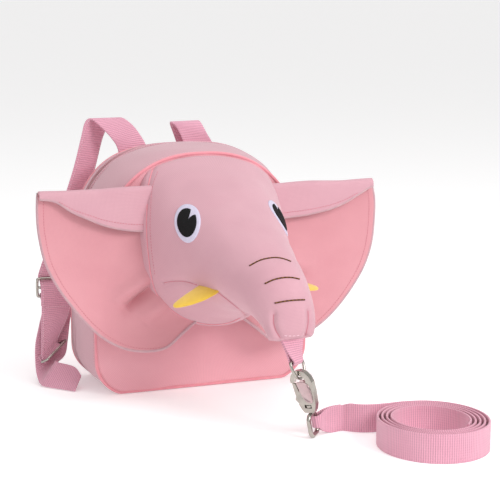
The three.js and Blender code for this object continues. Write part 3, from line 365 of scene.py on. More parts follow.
CAMERA_AT = np.array([-505.2, -1448.3, 398.9])
AZIMUTH, ELEVATION, FOCAL = math.radians(21.5), math.radians(10.1), 1602.5
FORWARD = np.array([math.sin(AZIMUTH) * math.cos(ELEVATION), math.cos(AZIMUTH) * math.cos(ELEVATION),
                    -math.sin(ELEVATION)])
RIGHT = np.array([math.cos(AZIMUTH), -math.sin(AZIMUTH), 0.0])
UPWARD = np.cross(RIGHT, FORWARD)


def surface(pts, closed=False):
    pts = np.asarray(pts, float)
    rows, cols = pts.shape[:2]
    faces = [(i * cols + j, i * cols + (j + 1) % cols, (i + 1) * cols + (j + 1) % cols, (i + 1) * cols + j)
             for i in range(rows - 1) for j in range(cols if closed else cols - 1)]
    return BVHTree.FromPolygons([Vector(p) for p in pts.reshape(-1, 3)], faces)


def seen(pixels, tree, lift=0.0):
    """Points on a surface under a line of the photograph's pixels."""
    found = []
    for x, y in resample(np.array(pixels, float), 2.0):
        ray = unit(FORWARD + RIGHT * (x - 250) / FOCAL - UPWARD * (y - 250) / FOCAL)
        at, normal = tree.ray_cast(Vector(CAMERA_AT), Vector(ray))[:2]
        if at is not None:
            normal = np.array(normal)
            normal = normal if normal @ ray < 0 else -normal
            found.append(np.array(at) + normal * lift)
    return np.array(found)


# The bag's outline, as in the CAD source. From the middle of the base it runs along the base, round the
# corner, up the side and over the arch, which end at these shares and at half.
BASE_END, CORNER_END, SIDE_END = 0.12, 0.2, 0.26


def outline(share, y):
    t = np.mod(np.asarray(share, float), 1.0)
    mirrored = t > 0.5
    t = np.where(mirrored, 1 - t, t)
    power = ARCH_ROUND_FRONT + (ARCH_ROUND_BACK - ARCH_ROUND_FRONT) * (y - FRONT_FACE) / BAG_DEPTH
    corner = np.clip((t - BASE_END) / (CORNER_END - BASE_END), 0, 1) * math.pi / 2
    side = (t - CORNER_END) / (SIDE_END - CORNER_END)
    arch = np.clip((t - SIDE_END) / (0.5 - SIDE_END), 0, 1) * math.pi / 2
    stretches = [t < BASE_END, t < CORNER_END, t < SIDE_END]
    x = np.select(stretches, [(HALF_WIDTH - CORNER_RADIUS) * t / BASE_END,
                              HALF_WIDTH - CORNER_RADIUS + CORNER_RADIUS * np.sin(corner),
                              np.full_like(t, HALF_WIDTH)],
                  HALF_WIDTH * np.abs(np.cos(arch)) ** (2 / power))
    z = np.select(stretches, [np.zeros_like(t), CORNER_RADIUS - CORNER_RADIUS * np.cos(corner),
                              CORNER_RADIUS + (ARCH_START - CORNER_RADIUS) * side],
                  ARCH_START + (BAG_HEIGHT - ARCH_START) * np.sin(arch) ** (2 / power))
    return np.stack([np.where(mirrored, -x, x), np.full_like(x, y), z], axis=-1)


def even_shares(count, y=0.0, start=0.0, end=1.0):
    """Shares of the outline at even distances along it."""
    fine = np.linspace(start, end, 2001)
    p = outline(fine, y)
    length = np.concatenate([[0], np.cumsum(np.linalg.norm(np.diff(p, axis=0), axis=1))])
    return np.interp(np.linspace(0, length[-1], count), length, fine)


def side_ring(shares, y, outward=0.0):
    here = outline(shares, y)
    along = outline(shares + 0.004, y) - outline(shares - 0.004, y)
    along /= np.linalg.norm(along, axis=1)[:, None]
    across = np.stack([along[:, 2], np.zeros(len(along)), -along[:, 0]], axis=1)
    bow = SIDE_BULGE * (1 - (y / BACK_FACE) ** 2) * np.minimum(1, here[:, 2] / CORNER_RADIUS)
    return here + across * (outward + bow)[:, None]


def side_strip(y0, y1, rows, count=220, start=0.0, end=1.0, outward=0.0, wave=0.7, seed=0.0):
    shares = even_shares(count, 0.0, start, end)
    strip = np.array([side_ring(shares, y, outward) for y in np.linspace(y0, y1, rows)])
    moved = wrinkled(strip, wave, 26, seed) if wave else strip
    moved[..., 2] = np.maximum(moved[..., 2], 0.05)
    return moved


ARCH_FROM = 0.2487
WALL_FRONT = FRONT_FACE + PIPING_RADIUS * 0.4
WALL_BACK = BACK_FACE - PIPING_RADIUS * 0.4

front_strip = side_strip(WALL_FRONT, ZIP_FRONT, 26, wave=1.0, seed=3)
grid("bag_side_front", front_strip, SIDE_CLOTH, thick=1.6, offset=1, nodes=("gusset_front", "bag_base"),
     slot="bag_cloth")
grid("bag_side_back", side_strip(ZIP_BACK, WALL_BACK, 10, seed=5), SIDE_CLOTH, thick=1.6, offset=1,
     nodes=("gusset_back",), slot="bag_cloth")
grid("bag_side_middle", side_strip(ZIP_FRONT - 0.4, ZIP_BACK + 0.4, 6, 110, -ARCH_FROM, ARCH_FROM, seed=4),
     SIDE_CLOTH, thick=1.6, offset=1, slot="bag_cloth")
grid("zip_tape_cloth", side_strip(ZIP_FRONT - 1, ZIP_BACK + 1, 5, 160, ARCH_FROM, 1 - ARCH_FROM, -0.9, 0.0),
     ZIP_TAPE, thick=0.8, offset=1, nodes=("zip_tape",), slot="zip")


def zip_line(y, outward, count=300):
    return side_ring(even_shares(count, 0.0, ARCH_FROM + 0.002, 1 - ARCH_FROM - 0.002), y, outward)


COIL_POINTS, POINTS_A_TURN, COIL_REACH = 900, 3, 1.7
coil_path = zip_line((ZIP_FRONT + ZIP_BACK) / 2, 0.3, COIL_POINTS)
coil_path[:, 1] += COIL_REACH * np.cos(np.arange(COIL_POINTS) * 2 * math.pi / POINTS_A_TURN)
tube("zip_teeth", coil_path, 0.42, COIL, sides=5, nodes=("zip_coil",), slot="zip")
for name, y in (("front", ZIP_FRONT), ("back", ZIP_BACK)):
    sign = 1 if name == "front" else -1
    tube(f"zip_fold_{name}", zip_line(y + sign * 0.4, 0.0), 0.9, SIDE_CLOTH, sides=8, slot="bag_cloth")
    stitches(f"zip_stitch_{name}", zip_line(y - sign * 2.2, 0.25), THREAD, radius=0.26, slot="bag_cloth")

rim = outline(even_shares(240, FRONT_FACE), FRONT_FACE)[:-1]
rim[:, 2] = np.maximum(rim[:, 2], PIPING_RADIUS + 0.5)
tube("front_piping_cord", rim, PIPING_RADIUS, SEAM, closed=True, sides=12, nodes=("front_piping",),
     slot="piping")
back_rim = outline(even_shares(240, BACK_FACE), BACK_FACE - 0.9)[:-1]
back_rim[:, 2] = np.maximum(back_rim[:, 2], 1.5)
tube("back_binding", back_rim, 1.3, SEAM, closed=True, sides=10, slot="piping")
stitches("front_edge_stitch", side_ring(even_shares(400), FRONT_FACE + 4.2, 0.2), THREAD, slot="bag_cloth")


def crowned(face, side, crown, inset, lowest, wave, seed):
    """A panel of rings within the outline, raised towards its middle."""
    shares = even_shares(200, face)[:-1]
    edge = outline(shares, face)
    centre = np.array([0, face, BAG_HEIGHT / 2])
    rows = []
    for ring in np.linspace(1, 0.02, 34):
        spot = centre + (edge - centre) * ring * (1 - inset)
        spot[:, 2] = np.maximum(spot[:, 2], lowest)
        spot[:, 1] = face + side * crown * (1 - ring * ring)
        rows.append(spot)
    return wrinkled(np.array(rows), wave, 36, seed)


front_face = crowned(FRONT_FACE, -1, FRONT_CROWN, 0.002, 1.6, 1.5, 1)
grid("front_panel_cloth", front_face, BAG_CLOTH, 1.2, closed=True, caps="last", nodes=("bag_front_panel",),
     slot="bag_cloth")
back_face = crowned(BACK_FACE - 0.3, 1, BACK_CROWN, 0.004, 1.2, 0.5, 2)
grid("back_panel_cloth", back_face, BAG_CLOTH, 1.2, closed=True, caps="last", nodes=("bag_back_panel",),
     slot="bag_cloth")

# The face

HEAD_NAMES = ("out", "lowOut", "top", "low", "half", "swing", "crown", "jaw")
HEAD = np.array([
    (0.0, 0.0, 1.0, 0.36, 0.97, 0, 0.62, 0.95),
    (0.05, 0.07, 0.985, 0.305, 1.0, 0, 0.66, 0.95),
    (0.18, 0.17, 0.94, 0.295, 0.95, 0, 0.76, 0.95),
    (0.36, 0.26, 0.875, 0.315, 0.84, 0.04, 0.86, 0.98),
    (0.53, 0.35, 0.808, 0.355, 0.71, 0.12, 0.95, 1),
    (0.69, 0.46, 0.742, 0.395, 0.59, 0.27, 1, 1),
    (0.83, 0.58, 0.675, 0.415, 0.49, 0.48, 1, 1),
    (0.93, 0.69, 0.605, 0.42, 0.42, 0.7, 1, 1),
    (0.98, 0.77, 0.525, 0.41, 0.37, 0.9, 1, 1),
    (1.0, 0.83, 0.45, 0.395, 0.33, 1, 1, 1),
    (0.995, 0.87, 0.395, 0.38, 0.3, 1, 1, 1),
    (0.96, 0.9, 0.374, 0.37, 0.28, 1, 0.9, 0.9),
])


def table_at(table, row):
    last = len(table) - 1
    i = min(last - 1, int(row))
    t = row - i
    a, b, c, d = (table[min(max(i + k, 0), last)] for k in (-1, 0, 1, 2))
    return b + 0.5 * t * (c - a + t * (2 * a - 5 * b + 4 * c - d + t * (3 * (b - c) + d - a)))


rim_angle = np.arctan2(rim[:, 2] - BAG_HEIGHT / 2, rim[:, 0])
rim_reach = np.hypot(rim[:, 2] - BAG_HEIGHT / 2, rim[:, 0])
order = np.argsort(rim_angle)


def inside_seam(points):
    """Keeps the face inside the piped seam."""
    angle = np.arctan2(points[:, 2] - BAG_HEIGHT / 2, points[:, 0])
    reach = np.hypot(points[:, 2] - BAG_HEIGHT / 2, points[:, 0])
    limit = np.interp(angle, rim_angle[order], rim_reach[order], period=2 * math.pi) * 0.977
    scale = np.minimum(1, limit / np.maximum(reach, 1e-6))
    points[:, 0] *= scale
    points[:, 2] = BAG_HEIGHT / 2 + (points[:, 2] - BAG_HEIGHT / 2) * scale
    return points


def head_ring(row, count):
    v = dict(zip(HEAD_NAMES, table_at(HEAD, row)))
    top = np.array([0, FRONT_FACE - HEAD_REACH * v["out"], BAG_HEIGHT * v["top"]])
    low = np.array([0, FRONT_FACE - HEAD_REACH * v["lowOut"], BAG_HEIGHT * v["low"]])
    angle = np.linspace(0, 2 * math.pi, count, endpoint=False)
    full = np.where(np.sin(angle) > 0, v["crown"], v["jaw"])
    across = np.sign(np.cos(angle)) * np.abs(np.cos(angle)) ** full
    raised = np.sign(np.sin(angle)) * np.abs(np.sin(angle)) ** full
    points = low + (top - low) * ((1 + raised) / 2)[:, None]
    points[:, 0] = FACE_SHIFT + TRUNK_SWING * v["swing"] + across * HEAD_HALF_WIDTH * v["half"]
    return inside_seam(points)


head_rows = [head_ring(r, 180) for r in np.linspace(0, len(HEAD) - 1, 150)]
head_pts = wrinkled(np.array(head_rows), 0.9, 22, 7)
tip = head_pts[-1]
tip_middle = tip.mean(axis=0)
closing = [tip_middle + (tip - tip_middle) * s + np.array([0, 0, -0.9 * math.sqrt(1 - s * s)])
           for s in (0.96, 0.85, 0.6, 0.3, 0.05)]
head_pts = np.concatenate([head_pts, closing])
head_tree = surface(head_pts, True)

# Lines of sewing, in the photograph's pixels
FACE_SEAM = [(153, 168), (148.5, 185), (147, 209), (146.5, 228), (147.5, 245), (149, 260), (151, 275),
             (155, 290), (162, 301), (171, 309.5), (183, 317.5), (197, 322.5), (212, 324.5), (228, 323),
             (240, 318)]
FACE_STITCH = [(158, 171), (152.5, 187), (150.7, 209), (150.2, 228), (151.2, 245), (152.8, 260), (155, 275)]
TIP_LEFT = [(273.9, 314.5), (273.4, 322), (276, 331), (280.5, 338)]
TIP_RIGHT = [(308, 311), (308.1, 323.2), (305.6, 336)]
JAW_LEFT = [(163.5, 283), (172, 281.5), (184, 281.5), (197, 285)]
JAW_FRONT = [(217.5, 292), (229, 301), (240, 310), (250, 320)]


def grooved(pts, pixels, depth, width):
    """Pulls a surface in along the line where it is sewn."""
    path = resample(seen(pixels, head_tree), 1.0)
    away = np.min([np.linalg.norm(pts - spot, axis=2) for spot in path], axis=0)
    normal = grid_normals(pts)
    centre = pts.mean(axis=1)[:, None]
    normal *= np.where(((pts - centre) * normal).sum(axis=2) < 0, -1, 1)[..., None]
    return pts - normal * (depth * np.exp(-(away / width) ** 2))[..., None]


for pixels, depth, width in ((TIP_LEFT, 2.2, 2.6), (TIP_RIGHT, 2.2, 2.6), (FACE_SEAM, 1.2, 2.4),
                             (JAW_LEFT, 1.4, 3.0), (JAW_FRONT, 1.6, 3.0)):
    head_pts[:-len(closing)] = grooved(head_pts, pixels, depth, width)[:-len(closing)]
head_tree = surface(head_pts, True)
head = grid("head_cloth", head_pts, FACE_CLOTH, closed=True, caps=True, nodes=("head",), slot="face_cloth")


def sewn_line(name, pixels, tree, mat, radius=0.35, lift=0.05, **rest):
    return tube(name, seen(pixels, tree, lift), radius, mat, sides=6, **rest)


for index, line in enumerate((
        [(249.4, 265.8), (261, 260), (273.2, 257.7), (282, 258.5), (290.8, 261.5)],
        [(264.8, 283.7), (274, 279.6), (283.9, 277.6), (292, 277.6), (299.2, 279.1)],
        [(274.7, 303.2), (284, 301.4), (294, 300.2), (304.6, 299.8)])):
    tube(f"trunk_crease_{index}", seen(line, head_tree, 0.1), 0.68, BROWN_THREAD, sides=8, slot="pupil_black")
    # Each crease carries a row of lighter stitches as its painted glint
    stitches(f"trunk_crease_glint_{index}", seen(line, head_tree, 0.62), GLINT_PAINT_THREAD, pitch=3.4, share=0.5,
             radius=0.34, slot="pupil_black")

# Dark seam lines in the jaw, face and trunk-tip grooves carry painted groove shade
sewn_line("jaw_seam_left", JAW_LEFT, head_tree, SEAM_PAINTED_SHADE, slot="piping")
sewn_line("jaw_seam_front", JAW_FRONT, head_tree, SEAM_PAINTED_SHADE, slot="piping")
sewn_line("face_seam_left", FACE_SEAM, head_tree, SEAM, radius=0.55, slot="piping")
stitches("face_seam_stitch", seen(FACE_STITCH, head_tree, 0.12), SEAM_PAINTED_SHADE, radius=0.3, slot="piping")
sewn_line("trunk_tip_left", TIP_LEFT, head_tree, SEAM_PAINTED_SHADE, slot="piping")
sewn_line("trunk_tip_right", TIP_RIGHT, head_tree, SEAM_PAINTED_SHADE, slot="piping")
stitches("trunk_tip_stitch", seen([(283.6, 335.6), (292, 336), (299.9, 335.2)], head_tree, 0.1), PALE_THREAD,
         pitch=3.0, slot="webbing")

# Eyes: embroidered ovals that follow the face and lean inwards, with a gap for the glint in each pupil

EYE_APART, EYE_LEVEL, EYE_SHEAR, GLINT_AT, GLINT_HALF = 44.0, 172.5, 0.33, 1.0, 0.29


def eye_disc(side, width, height, lift, notched, name, mat, nodes, slot, dome=0.5):
    start = Vector((FACE_SHIFT + side * EYE_APART, FRONT_FACE - HEAD_REACH * 2, EYE_LEVEL))
    at, normal = head_tree.ray_cast(start, Vector((0, 1, 0)))[:2]
    normal = np.array(normal)
    normal = normal if normal[1] < 0 else -normal
    sideways = unit(np.cross((0, 0, 1), normal))
    upright = unit(np.cross(normal, sideways)) + sideways * side * EYE_SHEAR
    rings = []
    for ring in (1.0, 0.99, 0.93, 0.8, 0.6, 0.4, 0.2, 0.03):
        row = []
        for a in np.linspace(0, 2 * math.pi, 72, endpoint=False):
            gap = abs(a - GLINT_AT)
            reach = ring / 2 * (0.12 + 0.88 * gap / GLINT_HALF if notched and gap < GLINT_HALF else 1)
            start = np.array(at) + (sideways * math.cos(a) * width + upright * math.sin(a) * height) * reach
            spot = head_tree.ray_cast(Vector(start + normal * 36), Vector(-normal))[0]
            raised = -0.3 if ring == 1.0 else lift + dome * math.sqrt(max(0, 1 - ring ** 4))
            row.append(np.array(spot) + normal * raised)
        rings.append(row)
    return grid(name, rings, mat, closed=True, caps=True, nodes=nodes, slot=slot)


for side, word in ((-1, "left"), (1, "right")):
    eye_disc(side, 30, 36, 0.5, False, f"eye_ring_{word}", WHITE, (f"eye_white_{word}",), "eye_white")
    eye_disc(side, 22.5, 27, 1.2, True, f"eye_pupil_{word}", BLACK, (f"pupil_{word}",), "pupil_black", 0.7)

# Tusks of stuffed felt

TUSK_WIDTH, TUSK_THICK, TUSK_BEND = 24.0, 5.0, 0.08


def tusk(name, root, tip, broad, node):
    root, tip, broad = (np.array(v, float) for v in (root, tip, broad))
    along = tip - root
    across = unit(np.cross(broad, along))
    wide = unit(np.cross(along, across))
    shape = np.array([(0, 0.8, 0.8), (0.2, 1, 1), (0.45, 0.95, 1), (0.7, 0.72, 0.95), (0.88, 0.45, 0.8),
                      (0.965, 0.27, 0.62), (1, 0.1, 0.3)])
    rings = []
    for share in np.linspace(0, 1, 30):
        w, t = (np.interp(share, shape[:, 0], shape[:, k]) for k in (1, 2))
        middle = root + along * share + wide * TUSK_WIDTH * TUSK_BEND * math.sin(math.pi * share)
        ring = []
        for a in np.linspace(0, 2 * math.pi, 28, endpoint=False):
            flat = math.copysign(abs(math.cos(a)) ** 0.75, math.cos(a))
            ring.append(middle + across * flat * t * TUSK_THICK / 2 + wide * math.sin(a) * w * TUSK_WIDTH / 2)
        rings.append(ring)
    return grid(name, rings, FELT, closed=True, caps=True, nodes=(node,), slot="tusk_felt")


tusk("tusk_left_felt", (-20, -146, 123), (-62, -139, 102.4), (0.39, -0.92, -0.07), "tusk_left")
tusk("tusk_right_felt", (34, -140, 120), (80, -132, 107), (-0.39, -0.92, -0.07), "tusk_right")

# The ears

EAR_NAMES = ("seam", "seamOut", "seamUp", "edge", "edgeRight", "edgeOut", "edgeUp")
EAR = np.array([
    (0.34, 0.04, 1.0, 0.995, 0.995, 0.06, 1.0),
    (0.37, 0.05, 0.915, 1.0, 1.02, 0.06, 0.905),
    (0.4, 0.07, 0.825, 0.99, 1.02, 0.06, 0.79),
    (0.41, 0.09, 0.735, 0.96, 1.0, 0.065, 0.67),
    (0.41, 0.11, 0.66, 0.9, 0.95, 0.075, 0.565),
    (0.39, 0.13, 0.595, 0.82, 0.87, 0.085, 0.465),
    (0.36, 0.145, 0.54, 0.73, 0.77, 0.095, 0.37),
    (0.325, 0.16, 0.495, 0.635, 0.66, 0.11, 0.3),
    (0.285, 0.17, 0.455, 0.53, 0.54, 0.13, 0.255),
    (0.24, 0.18, 0.425, 0.42, 0.43, 0.15, 0.24),
    (0.2, 0.19, 0.4, 0.32, 0.32, 0.175, 0.255),
    (0.17, 0.195, 0.39, 0.235, 0.235, 0.185, 0.31),
])
FLAP = np.array([(1.0, 0.8), (1.0, 0.8), (0.97, 0.77), (0.9, 0.74), (0.78, 0.68), (0.6, 0.6), (0.4, 0.46),
                 (0.13, 0.25), (0.05, 0.06)])


HANG_ROWS, FOLD_ROWS, FACED_ROWS = 13, 9, 17
FLAP_ROWS = HANG_ROWS + FOLD_ROWS
HEM_LIFT = 1.28


def ear_grid(side):
    """An ear: the folded flap's rows, the fold's rows, then the ear's own from top to bottom."""
    ahead = 1.3 + PIECE_GAP + PIPING_RADIUS
    top = EAR_TOP - (RIGHT_EAR_DROP if side > 0 else 0)
    columns = 64

    def place(across, out, up):
        return np.array([FACE_SHIFT + side * EAR_SPAN / 2 * across, FRONT_FACE - ahead - HEAD_REACH * out,
                         top * up])

    def main_row(row):
        v = dict(zip(EAR_NAMES, table_at(EAR, row)))
        seam = place(v["seam"] - 0.05, v["seamOut"], v["seamUp"])
        edge = place(v["edgeRight" if side > 0 else "edge"], v["edgeOut"], v["edgeUp"])
        u = np.linspace(0, 1, columns)[:, None]
        spots = seam + (edge - seam) * u
        spots[:, 1] += np.sin(math.pi * u[:, 0]) * math.sin(math.pi * row / (len(EAR) - 1)) * EAR_CUP
        return spots

    first = main_row(0)
    hang = np.array([EAR_FLAP * max(0.03, table_at(FLAP, u * (len(FLAP) - 1))[1 if side > 0 else 0])
                     for u in np.linspace(0, 1, columns)])
    rows = []
    for share in np.linspace(1, 0, HANG_ROWS + 1)[:-1]:
        drop = hang * share
        rows.append(first + np.stack([0 * drop, -2 * EAR_FOLD - drop * 0.12, -EAR_FOLD - drop], axis=1))
    for a in np.linspace(0, math.pi, FOLD_ROWS):
        rows.append(first + np.array([0, -EAR_FOLD - EAR_FOLD * math.cos(a), EAR_FOLD * (math.sin(a) - 1)]))
    rows += [main_row(r) for r in np.linspace(0, len(EAR) - 1, 84)[1:]]
    return np.array(rows)


def crease(pts, a, b, depth, width):
    """A soft valley (or ridge, depth below 0) along a line in the ear's own face."""
    a, b = np.array(a, float), np.array(b, float)
    flat = pts[..., [0, 2]]
    line = b - a
    t = np.clip(((flat - a) @ line) / (line @ line), 0, 1)
    away = np.linalg.norm(flat - (a + t[..., None] * line), axis=2)
    fade = np.sin(np.clip(t, 0.02, 0.98) * math.pi) ** 0.5
    pts[FLAP_ROWS:, :, 1] += (depth * np.exp(-(away / width) ** 2) * fade)[FLAP_ROWS:]
    return pts


for side, word in ((-1, "left"), (1, "right")):
    pts = wrinkled(ear_grid(side), 1.0, 30, 11 + side)
    if side < 0:
        pts = crease(pts, (-52, 110), (-82, 85), 10.0, 4.8)
        pts = crease(pts, (-58, 119), (-94, 92), -6.0, 6)
        pts = crease(pts, (-44, 97), (-68, 75), -5.5, 6)
        pts = crease(pts, (-120, 170), (-70, 120), -1.6, 16)
    else:
        pts = crease(pts, (66, 112), (100, 102), 5.5, 5)
        pts = crease(pts, (72, 122), (112, 114), -3.5, 8)
    o = grid(f"ear_{word}_cloth", pts, EAR_CLOTH, thick=2.4, nodes=(f"ear_{word}",), slot="bag_cloth")
    rounded = o.modifiers.new("edge", "BEVEL")
    rounded.width = 0.0009
    rounded.segments = 2
    rounded.limit_method = "ANGLE"
    o.data.materials.append(FACE_CLOTH)
    for polygon in o.data.polygons[:FACED_ROWS * (pts.shape[1] - 1)]:
        polygon.material_index = 1
    rim_line = np.vstack([pts[FLAP_ROWS - 1:, -1], pts[-1, -2::-1]])
    # Rolled ear edges in the darker rim colour, which is painted shade
    tube(f"ear_{word}_rim", resample(rim_line, 3), 1.45, RIM_PAINTED_SHADE, sides=8, slot="bag_cloth")
    tube(f"ear_{word}_flap_rim", resample(pts[0], 3), 1.4, RIM_PAINTED_SHADE, sides=8, slot="bag_cloth")
    normal = grid_normals(pts)
    normal *= 1 if normal[40, 30][1] < 0 else -1
    front, back = pts + normal * HEM_LIFT, pts - normal * HEM_LIFT
    front_hem, back_hem = (np.vstack([face[FLAP_ROWS:-3, -4], face[-4, ::-1][3:-8]])
                           for face in (front, back))
    # Front hem and flap hem stitches in the dark groove colour (painted shade), back hem stitches in plain
    # pink thread
    stitches(f"ear_{word}_hem", front_hem, SEAM_PAINTED_SHADE, radius=0.32, slot="bag_cloth")
    stitches(f"ear_{word}_hem_back", back_hem, THREAD, radius=0.25, slot="bag_cloth")
    stitches(f"ear_{word}_flap_hem", back[2, 1:-9], SEAM_PAINTED_SHADE, radius=0.32, slot="bag_cloth")

# Webbing


def ribbon(name, stations, thick, nodes, step=1.2):
    """Webbing cut to a width, through stations (middle x, y, z, half width vector x, y, z)."""
    line = resample(np.array([[*a, *h] for a, h in stations], float), step)
    middle, half = line[:, :3], line[:, 3:]
    along = np.gradient(middle, axis=0)
    along /= np.linalg.norm(along, axis=1)[:, None]
    normal = np.cross(along, half)
    normal /= np.linalg.norm(normal, axis=1)[:, None]
    width = np.linalg.norm(half, axis=1)[:, None]
    side = half / width
    t = thick / 2
    shape = [(-1, -0.35), (-0.985, -0.75), (-0.95, -1)] + [(s, -1) for s in np.linspace(-0.85, 0.85, 9)]
    shape += [(0.95, -1), (0.985, -0.75), (1, -0.35), (1, 0.35), (0.985, 0.75), (0.95, 1)]
    shape += [(s, 1) for s in np.linspace(0.85, -0.85, 9)] + [(-0.95, 1), (-0.985, 0.75), (-1, 0.35)]
    rings = np.array([middle + side * width * s + normal * t * n for s, n in shape]).transpose(1, 0, 2)
    o = grid(name, rings, WEBBING, closed=True, caps=True, nodes=nodes, slot="webbing")
    return middle, side * width, normal * t


SEWN_LIFT = 1.08


def edge_stitches(name, run, first, last):
    middle, half, normal = run
    for word, share in (("a", 0.86), ("b", -0.86)):
        line = (middle + half * share + normal * SEWN_LIFT)[first:last]
        stitches(f"{name}_{word}", line, PALE_THREAD, pitch=2.8, radius=0.22, slot="webbing")


def cross_stitches(name, run, at):
    """A line of stitches across the webbing on both faces."""
    middle, half, normal = (part[at] for part in run)
    for word, face in (("a", 1), ("b", -1)):
        ends = [middle + half * share + normal * face * SEWN_LIFT for share in (-0.8, 0.8)]
        stitches(f"{name}_{word}", ends, PALE_THREAD, pitch=2.4, radius=0.22, slot="webbing")


STRAP_HALF = 15.0
WIRE, WEB = 1.4, 1.7
HEM = WIRE + PIECE_GAP + WEB / 2
STEP = 20 / 2 - WIRE
OVER = HEM + WEB + PIECE_GAP
SLIDER_LEFT, SLIDER_RIGHT = np.array([-119.5, 51, 89.0]), np.array([100.0, 58, 74])
X15 = (STRAP_HALF, 0, 0)


def through_slider(c):
    return [(c + (0, HEM, STEP + 7), X15), (c + (0, HEM, STEP), X15), (c + (0, -HEM - PIECE_GAP, 0), X15),
            (c + (0, -OVER, -STEP), X15), (c + (0, -OVER, -STEP - 12), X15)]


def slider_hem(c):
    bar = c + (0, 0, -STEP)
    return [(bar + (0, -HEM + 0.1, -9), X15),
            *round_bar(bar, X15, np.array((0, -1.0, 0)), np.array((0, 0, 1.0)), HEM)]


def round_bar(middle, half, ahead, upward, radius, angles=(0, 45, 90, 135, 180)):
    """Stations of webbing that turns round a bar."""
    return [(middle + ahead * radius * math.cos(a) + upward * radius * math.sin(a), half)
            for a in np.radians(angles)]


ring_along = unit((0.73, 0.54, 0.43))
ring_deep = np.array((-0.2, 1, -0.35))
ring_deep = unit(ring_deep - ring_along * (ring_deep @ ring_along))
ring_down = unit(np.cross(ring_deep, ring_along))
RING_WIRE = 1.3
RING_DEPTH = 15 - 2 * RING_WIRE - 2
ring_near = np.array([-127, 20.5, 33.0])
ring_far = ring_near + ring_deep * RING_DEPTH
ring_middle = ring_near + ring_deep * RING_DEPTH / 2
ring_hem = RING_WIRE + PIECE_GAP + WEB / 2
ring_half = ring_along * 13.4
ring_up = ring_down * (-1 if ring_down[2] < 0 else 1)

left_run = ribbon("strap_left_webbing", [
    ((-39.5, 44.4, 200), X15), ((-40.5, 44.4, 221), X15), ((-48, 47.6, 236), (14, 3, 3)),
    ((-58, 52, 247), (14.5, 2, 2)), ((-64.5, 56, 251), X15), ((-70, 62, 247), (14.5, 3.5, 0)),
    ((-75.5, 65, 232), (13.2, 7, 0)), ((-84.5, 65, 200), (13.2, 7, 0)), ((-102, 61, 150), (14.2, 4.5, 0)),
    *through_slider(SLIDER_LEFT),
    ((-124, 39.5, 54), (13.5, 2, 3)),
    (ring_far - ring_deep * ring_hem + ring_up * 4, ring_half),
    *round_bar(ring_far, ring_half, -ring_deep, -ring_up, ring_hem),
    (ring_far + ring_deep * ring_hem + ring_up * 5, ring_half),
], WEB, ("shoulder_strap_left",))
edge_stitches("strap_left_edge", left_run, first=12, last=-20)
cross_stitches("strap_left_cross", left_run, -52)


def edges(right, left):
    right, left = np.array(right, float), np.array(left, float)
    return (right + left) / 2, (right - left) / 2


ribbon("lower_strap_left_webbing", [
    *slider_hem(SLIDER_LEFT),
    edges((-102.5, 51.5, 68), (-132.5, 51.5, 68)), edges((-106.5, 47.5, 52), (-137.5, 47, 52)),
    edges((-110, 43, 36), (-143.5, 39.5, 34)), edges((-114.5, 36, 24), (-146.5, 27, 14)),
    edges((-124.5, 22.5, 22.5), (-146, 18, 4)), edges((-128.5, 17, 23.5), (-145, 13, 1.9)),
    edges((-127.5, 12, 22.5), (-142.5, 8, 1.1)), edges((-114.5, 3, 19), (-127.5, -10, 1)),
    edges((-110.5, -6.5, 12.5), (-120.5, -19, 1)),
], WEB, ("lower_strap_left",))

right_run = ribbon("strap_right_webbing", [
    ((29.5, 44.4, 199), X15), ((28.5, 44.4, 220.5), X15), ((22.5, 47.6, 236), (14.5, -2, -2)),
    ((18, 53, 244.5), X15), ((18, 59, 243), X15), ((25.5, 66, 228), X15), ((40, 68, 188.5), (14, 0, 4)),
    ((63.5, 66, 130), (13.6, 0, 6)),
    *through_slider(SLIDER_RIGHT),
    ((100, 48, 42), (14.4, 0, 0)),
    *round_bar(np.array((100, 49, 26.0)), np.array((13.5, 0, 0)), np.array((0, -1.0, 0)),
               np.array((0, 0, -1.0)), ring_hem),
], WEB, ("shoulder_strap_right",))
edge_stitches("strap_right_edge", right_run, first=12, last=-12)
ribbon("lower_strap_right_webbing", [
    *slider_hem(SLIDER_RIGHT), ((100, 59.5, 52), X15), ((99, 56, 30), X15), ((96, 52, 12), X15),
    ((92, 46, 4), (13.5, 0, 0)),
], WEB, ("lower_strap_right",))

# Wire rings and sliders


def wire_frame(name, centre, along, down, length, height, radius, bars, node):
    hl, hh, corner = length / 2 - radius, height / 2 - radius, radius * 1.6
    centre, along, down = (np.array(v, float) for v in (centre, along, down))
    shape = [(0, -hh), (hl - corner, -hh), (hl, -hh + corner), (hl, hh - corner), (hl - corner, hh), (0, hh),
             (corner - hl, hh), (-hl, hh - corner), (-hl, -hh + corner), (corner - hl, -hh)]
    loop = resample([centre + along * a + down * d for a, d in shape], 0.8, True)
    tube(name, loop, radius, NICKEL, closed=True, sides=12, nodes=(node,), slot="nickel")
    if bars == 3:
        bar = np.array([centre + along * a for a in np.linspace(-hl, hl, 12)])
        tube(name + "_bar", bar, radius, NICKEL, sides=12, slot="nickel")


X, Z = (1, 0, 0), (0, 0, 1)
wire_frame("slider_left_wire", SLIDER_LEFT, X, Z, 38, 20, WIRE, 3, "strap_slider_left")
wire_frame("slider_right_wire", SLIDER_RIGHT, X, Z, 38, 20, WIRE, 3, "strap_slider_right")
wire_frame("ring_left_wire", ring_middle, ring_along, ring_deep, 34, RING_DEPTH + 2 * RING_WIRE, RING_WIRE, 2,
           "strap_ring_left")
wire_frame("ring_right_wire", (100, 49, 26 - RING_DEPTH / 2), X, Z, 34, RING_DEPTH + 2 * RING_WIRE, RING_WIRE,
           2, "strap_ring_right")

# Tab, D-ring, hook and swivel eye

